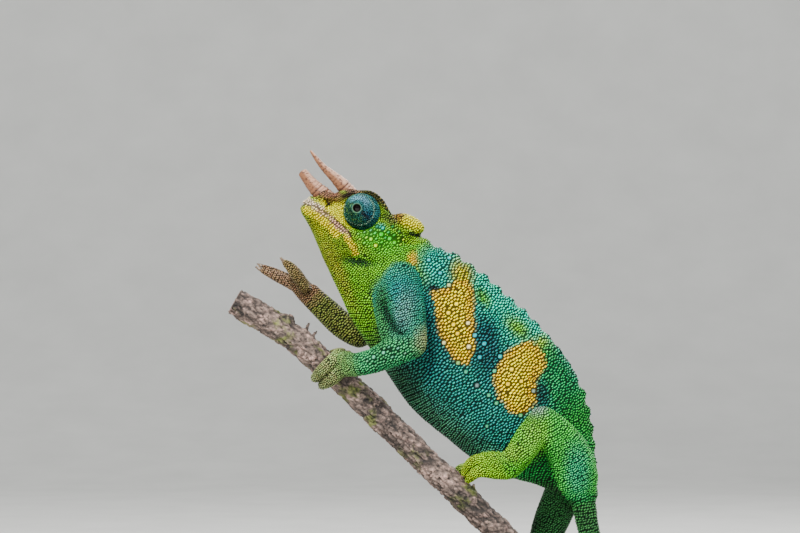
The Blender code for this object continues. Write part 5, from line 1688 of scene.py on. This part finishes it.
class CHAMELEON_OT_horns(bpy.types.Operator):
    """Builds the three ringed horns"""

    bl_idname = "chameleon.horns"
    bl_label = "Horns"

    def execute(self, context):
        surface = horn_keratin(context.scene.chameleon_horns)
        random = np.random.default_rng(SEED + 2)
        for name, rows, side in (
            ("nose_horn", NOSE_HORN, 1), ("left_brow_horn", BROW_HORN, 1),
            ("right_brow_horn", BROW_HORN, -1),
        ):
            length = sum(math.dist(a[:3], b[:3]) for a, b in zip(rows, rows[1:]))
            offset = random.uniform(0, 1)
            deep = random.uniform(0.25, 1.1, 40)

            def rings(distance):
                fade = max(0.0, 1.0 - distance / length) ** 0.6
                at = distance / RING_SPACING + offset
                wave = (math.cos(2 * math.pi * at) - 1) * deep[int(at)] + 0.5
                return 1.0 + RING_DEPTH * fade * (wave + 0.5 * math.cos(2.7 * distance + offset))

            bm = bmesh.new()
            blunt = NOSE_HORN_BLUNTNESS if name == "nose_horn" else 1.0
            sweep(bm, [(x, y * side, z, r) for x, y, z, r in rows], 24, 0.28, rings, blunt)
            turn_outwards(bm)
            place_piece(new_object(f"{name}_rings", bm), "horn", surface, name)
        return {"FINISHED"}


class CHAMELEON_OT_claws(bpy.types.Operator):
    """Sets a tapering claw on each of the nineteen toes"""

    bl_idname = "chameleon.claws"
    bl_label = "Claws"

    def execute(self, context):
        bm = bmesh.new()
        for line in sum(toe_lines().values(), []):
            before, last, radius = np.array(line[-2][:3]), np.array(line[-1][:3]), line[-1][3]
            ahead = (last - before) / np.linalg.norm(last - before)
            root = last + ahead * radius * 0.1
            reach = radius * 0.45 + CLAW_LENGTH
            rows = [(*(root + ahead * reach * share), size) for share, size in CLAW_PROFILE]
            sweep(bm, rows, 10, 0.3)
        turn_outwards(bm)
        place_piece(new_object("claws", bm), "horn", claw_keratin())
        return {"FINISHED"}


def bark_lift(place):
    """How far the bark stands out at a place in millimetres: plates drawn out along it, and lumps."""
    stretched = place - BRANCH_WAY * (place @ BRANCH_WAY) * BARK_STRETCH
    ridges = noise.fractal(Vector(stretched * BARK_GRAIN[0]), 0.9, 2.1, 4)
    first, second = noise.voronoi(Vector(stretched * BARK_GRAIN[1] + ridges * 0.6))[0][:2]
    plate = min((second - first) / 0.3, 1.0)
    lumps = noise.noise(Vector(place * BARK_GRAIN[2]))
    return PLATE_HEIGHT * plate - abs(ridges) * RIDGE_DEPTH + lumps * LUMP_HEIGHT - BARK_SINK


class CHAMELEON_OT_branch(bpy.types.Operator):
    """Gives the cut branch its bark, its twig stubs and its moss"""

    bl_idname = "chameleon.branch"
    bl_label = "Branch"

    def execute(self, context):
        settings = context.scene.chameleon_wood
        bm = merged_copy(["branch"])
        for (u, v), turn, length, radius in TWIG_STUBS:
            x, z = from_side_view(u, v)
            way = Matrix.Rotation(math.radians(turn), 4, "Y")
            lift = Matrix.Translation((0.0, 0.0, length / 2 * MM))
            bmesh.ops.create_cone(
                bm, cap_ends=True, segments=12, radius1=radius * MM, radius2=radius * 0.6 * MM,
                depth=length * MM, matrix=Matrix.Translation((x, 0.0, z)) @ way @ lift,
            )
        wood = new_object("bark", bm)
        add_modifier(wood, "wood", "REMESH", mode="VOXEL", voxel_size=0.42 * MM)
        add_modifier(wood, "worn", "SMOOTH", factor=0.5, iterations=5)
        bake_modifiers(wood)
        mesh = wood.data
        places, normals = vertex_places(mesh), vertex_normals(mesh)
        lifts = np.array([bark_lift(place) for place in places / MM])
        # The tone follows the relief: darker in the cracks and lighter on the ridges, partly the bark's own
        # colour and partly painted shade and highlight.
        tone = np.interp(lifts, np.percentile(lifts, BARK_LEVELS), BARK_TONE_AND_LIGHT)
        paint_points(mesh, np.stack([tone, tone * 0.97, tone * 0.96], axis=1))
        move_points(mesh, places + normals * lifts[:, None] * MM)
        place_piece(wood, "bark", weathered_bark(settings), "branch")
        return {"FINISHED"}


class CHAMELEON_OT_stand(bpy.types.Operator):
    """Finishes the stand's turned base, rod and collar"""

    bl_idname = "chameleon.stand"
    bl_label = "Stand"

    def execute(self, context):
        low, high = (np.array(corner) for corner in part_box("stand_base"))
        size = high - low
        bm = bmesh.new()
        bmesh.ops.create_cone(bm, cap_ends=True, segments=160, radius1=0.5, radius2=0.5, depth=size[2])
        stretch = Matrix.Diagonal((size[0], size[1], 1.0, 1.0))
        middle = Matrix.Translation(Vector((low + high) / 2))
        bmesh.ops.transform(bm, matrix=middle @ stretch, verts=bm.verts[:])
        rims = [edge for edge in bm.edges if abs(edge.verts[0].co.z - edge.verts[1].co.z) < 1e-6]
        bmesh.ops.bevel(
            bm, geom=rims, offset=BASE_BEVEL * MM, affect="EDGES", segments=4, profile=0.5, material=-1,
        )
        base = new_object("varnished_base", bm)
        base.data.set_sharp_from_angle(angle=math.radians(30))
        place_piece(base, "stand_wood", varnished_wood(context.scene.chameleon_wood), "stand_base")
        steel = brushed_steel()
        for name in ("stand_rod", "stand_collar"):
            NODES[name].data.materials.clear()
            NODES[name].data.materials.append(steel)
        return {"FINISHED"}


def extruded(bm, edges, shift):
    """Extrudes edges by a shift and gives the new ones that lie opposite them."""
    made = bmesh.ops.extrude_edge_only(bm, edges=edges)["geom"]
    verts = [item for item in made if isinstance(item, bmesh.types.BMVert)]
    bmesh.ops.translate(bm, vec=shift, verts=verts)
    return [
        item for item in made
        if isinstance(item, bmesh.types.BMEdge) and all(vert in verts for vert in item.verts)
    ]


def area_light(name, place, size, power, colour):
    """A round soft light that looks at the model's middle."""
    data = bpy.data.lights.new(name, "AREA")
    data.shape = "DISK"
    data.size = size
    data.energy = power
    data.color = colour
    light = bpy.data.objects.new(name, data)
    light.location = place
    light.rotation_euler = (Vector(LIGHT_AIM) - Vector(place)).to_track_quat("-Z", "Y").to_euler()
    bpy.context.scene.collection.objects.link(light)


class CHAMELEON_OT_studio(bpy.types.Operator):
    """Sets the pale floor and backdrop, the soft lights and the camera"""

    bl_idname = "chameleon.studio"
    bl_label = "Studio"

    def execute(self, context):
        bm = bmesh.new()
        (left, front), (right, back) = FLOOR
        corners = ((left, front), (right, front), (right, back), (left, back))
        floor = bm.faces.new([bm.verts.new((x, y, 0.0)) for x, y in corners])
        risen = [
            next(edge for edge in floor.edges if all(abs(vert.co.y - back) < 1e-6 for vert in edge.verts)),
        ]
        for k in range(BEND_STEPS):
            angle = (k + 0.5) / BEND_STEPS * math.pi / 2
            reach = BEND_RADIUS * math.pi / 2 / BEND_STEPS
            risen = extruded(bm, risen, (0.0, reach * math.cos(angle), reach * math.sin(angle)))
        extruded(bm, risen, (0.0, 0.0, BACKDROP_RISE))
        backdrop = new_object("backdrop", bm)
        backdrop.data.materials.append(studio_paper())
        for name, (place, size, power, colour) in LIGHTS.items():
            area_light(name, place, size, power, colour)
        world = bpy.data.worlds.new("studio")
        world.use_nodes = True
        background = world.node_tree.nodes["Background"]
        background.inputs["Color"].default_value = SKY_COLOUR
        background.inputs["Strength"].default_value = SKY_STRENGTH
        context.scene.world = world
        data = bpy.data.cameras.new("camera")
        data.sensor_width = SENSOR_WIDTH
        data.lens = SENSOR_WIDTH * -CAMERA_PLACE[1] / VIEW_WIDTH
        camera = bpy.data.objects.new("camera", data)
        camera.location = CAMERA_PLACE
        camera.rotation_euler = (math.radians(90), 0.0, 0.0)
        context.scene.collection.objects.link(camera)
        context.scene.camera = camera
        return {"FINISHED"}


OPERATORS = (
    CHAMELEON_OT_skin, CHAMELEON_OT_scales, CHAMELEON_OT_eyes, CHAMELEON_OT_horns, CHAMELEON_OT_claws,
    CHAMELEON_OT_branch, CHAMELEON_OT_stand, CHAMELEON_OT_studio,
)


class CHAMELEON_PT_pieces(bpy.types.Panel):
    """Lists the pieces and their settings"""

    bl_idname = "CHAMELEON_PT_pieces"
    bl_label = "Three-horned chameleon"
    bl_space_type = "VIEW_3D"
    bl_region_type = "UI"
    bl_category = "Chameleon"

    def draw(self, context):
        for key, group in SETTINGS.items():
            box = self.layout.box()
            for field in group.__annotations__:
                box.prop(getattr(context.scene, key), field)
        for operator in OPERATORS:
            self.layout.operator(operator.bl_idname)


SETTINGS = {
    "chameleon_skin": SkinSettings, "chameleon_scales": ScaleSettings, "chameleon_horns": HornSettings,
    "chameleon_eyes": EyeSettings, "chameleon_wood": WoodSettings,
}
CLASSES = (*SETTINGS.values(), *OPERATORS, CHAMELEON_PT_pieces)


def register():
    """Registers the classes and their settings."""
    for cls in CLASSES:
        bpy.utils.register_class(cls)
    for key, group in SETTINGS.items():
        setattr(bpy.types.Scene, key, PointerProperty(type=group))


def unregister():
    """Takes the settings and the classes away again."""
    for key in SETTINGS:
        delattr(bpy.types.Scene, key)
    for cls in reversed(CLASSES):
        bpy.utils.unregister_class(cls)


def main():
    """Builds every piece and the stage."""
    register()
    for operator in OPERATORS:
        getattr(bpy.ops.chameleon, operator.bl_idname.split(".")[1])()
    bpy.context.view_layer.update()


if __name__ == "__main__":
    main()
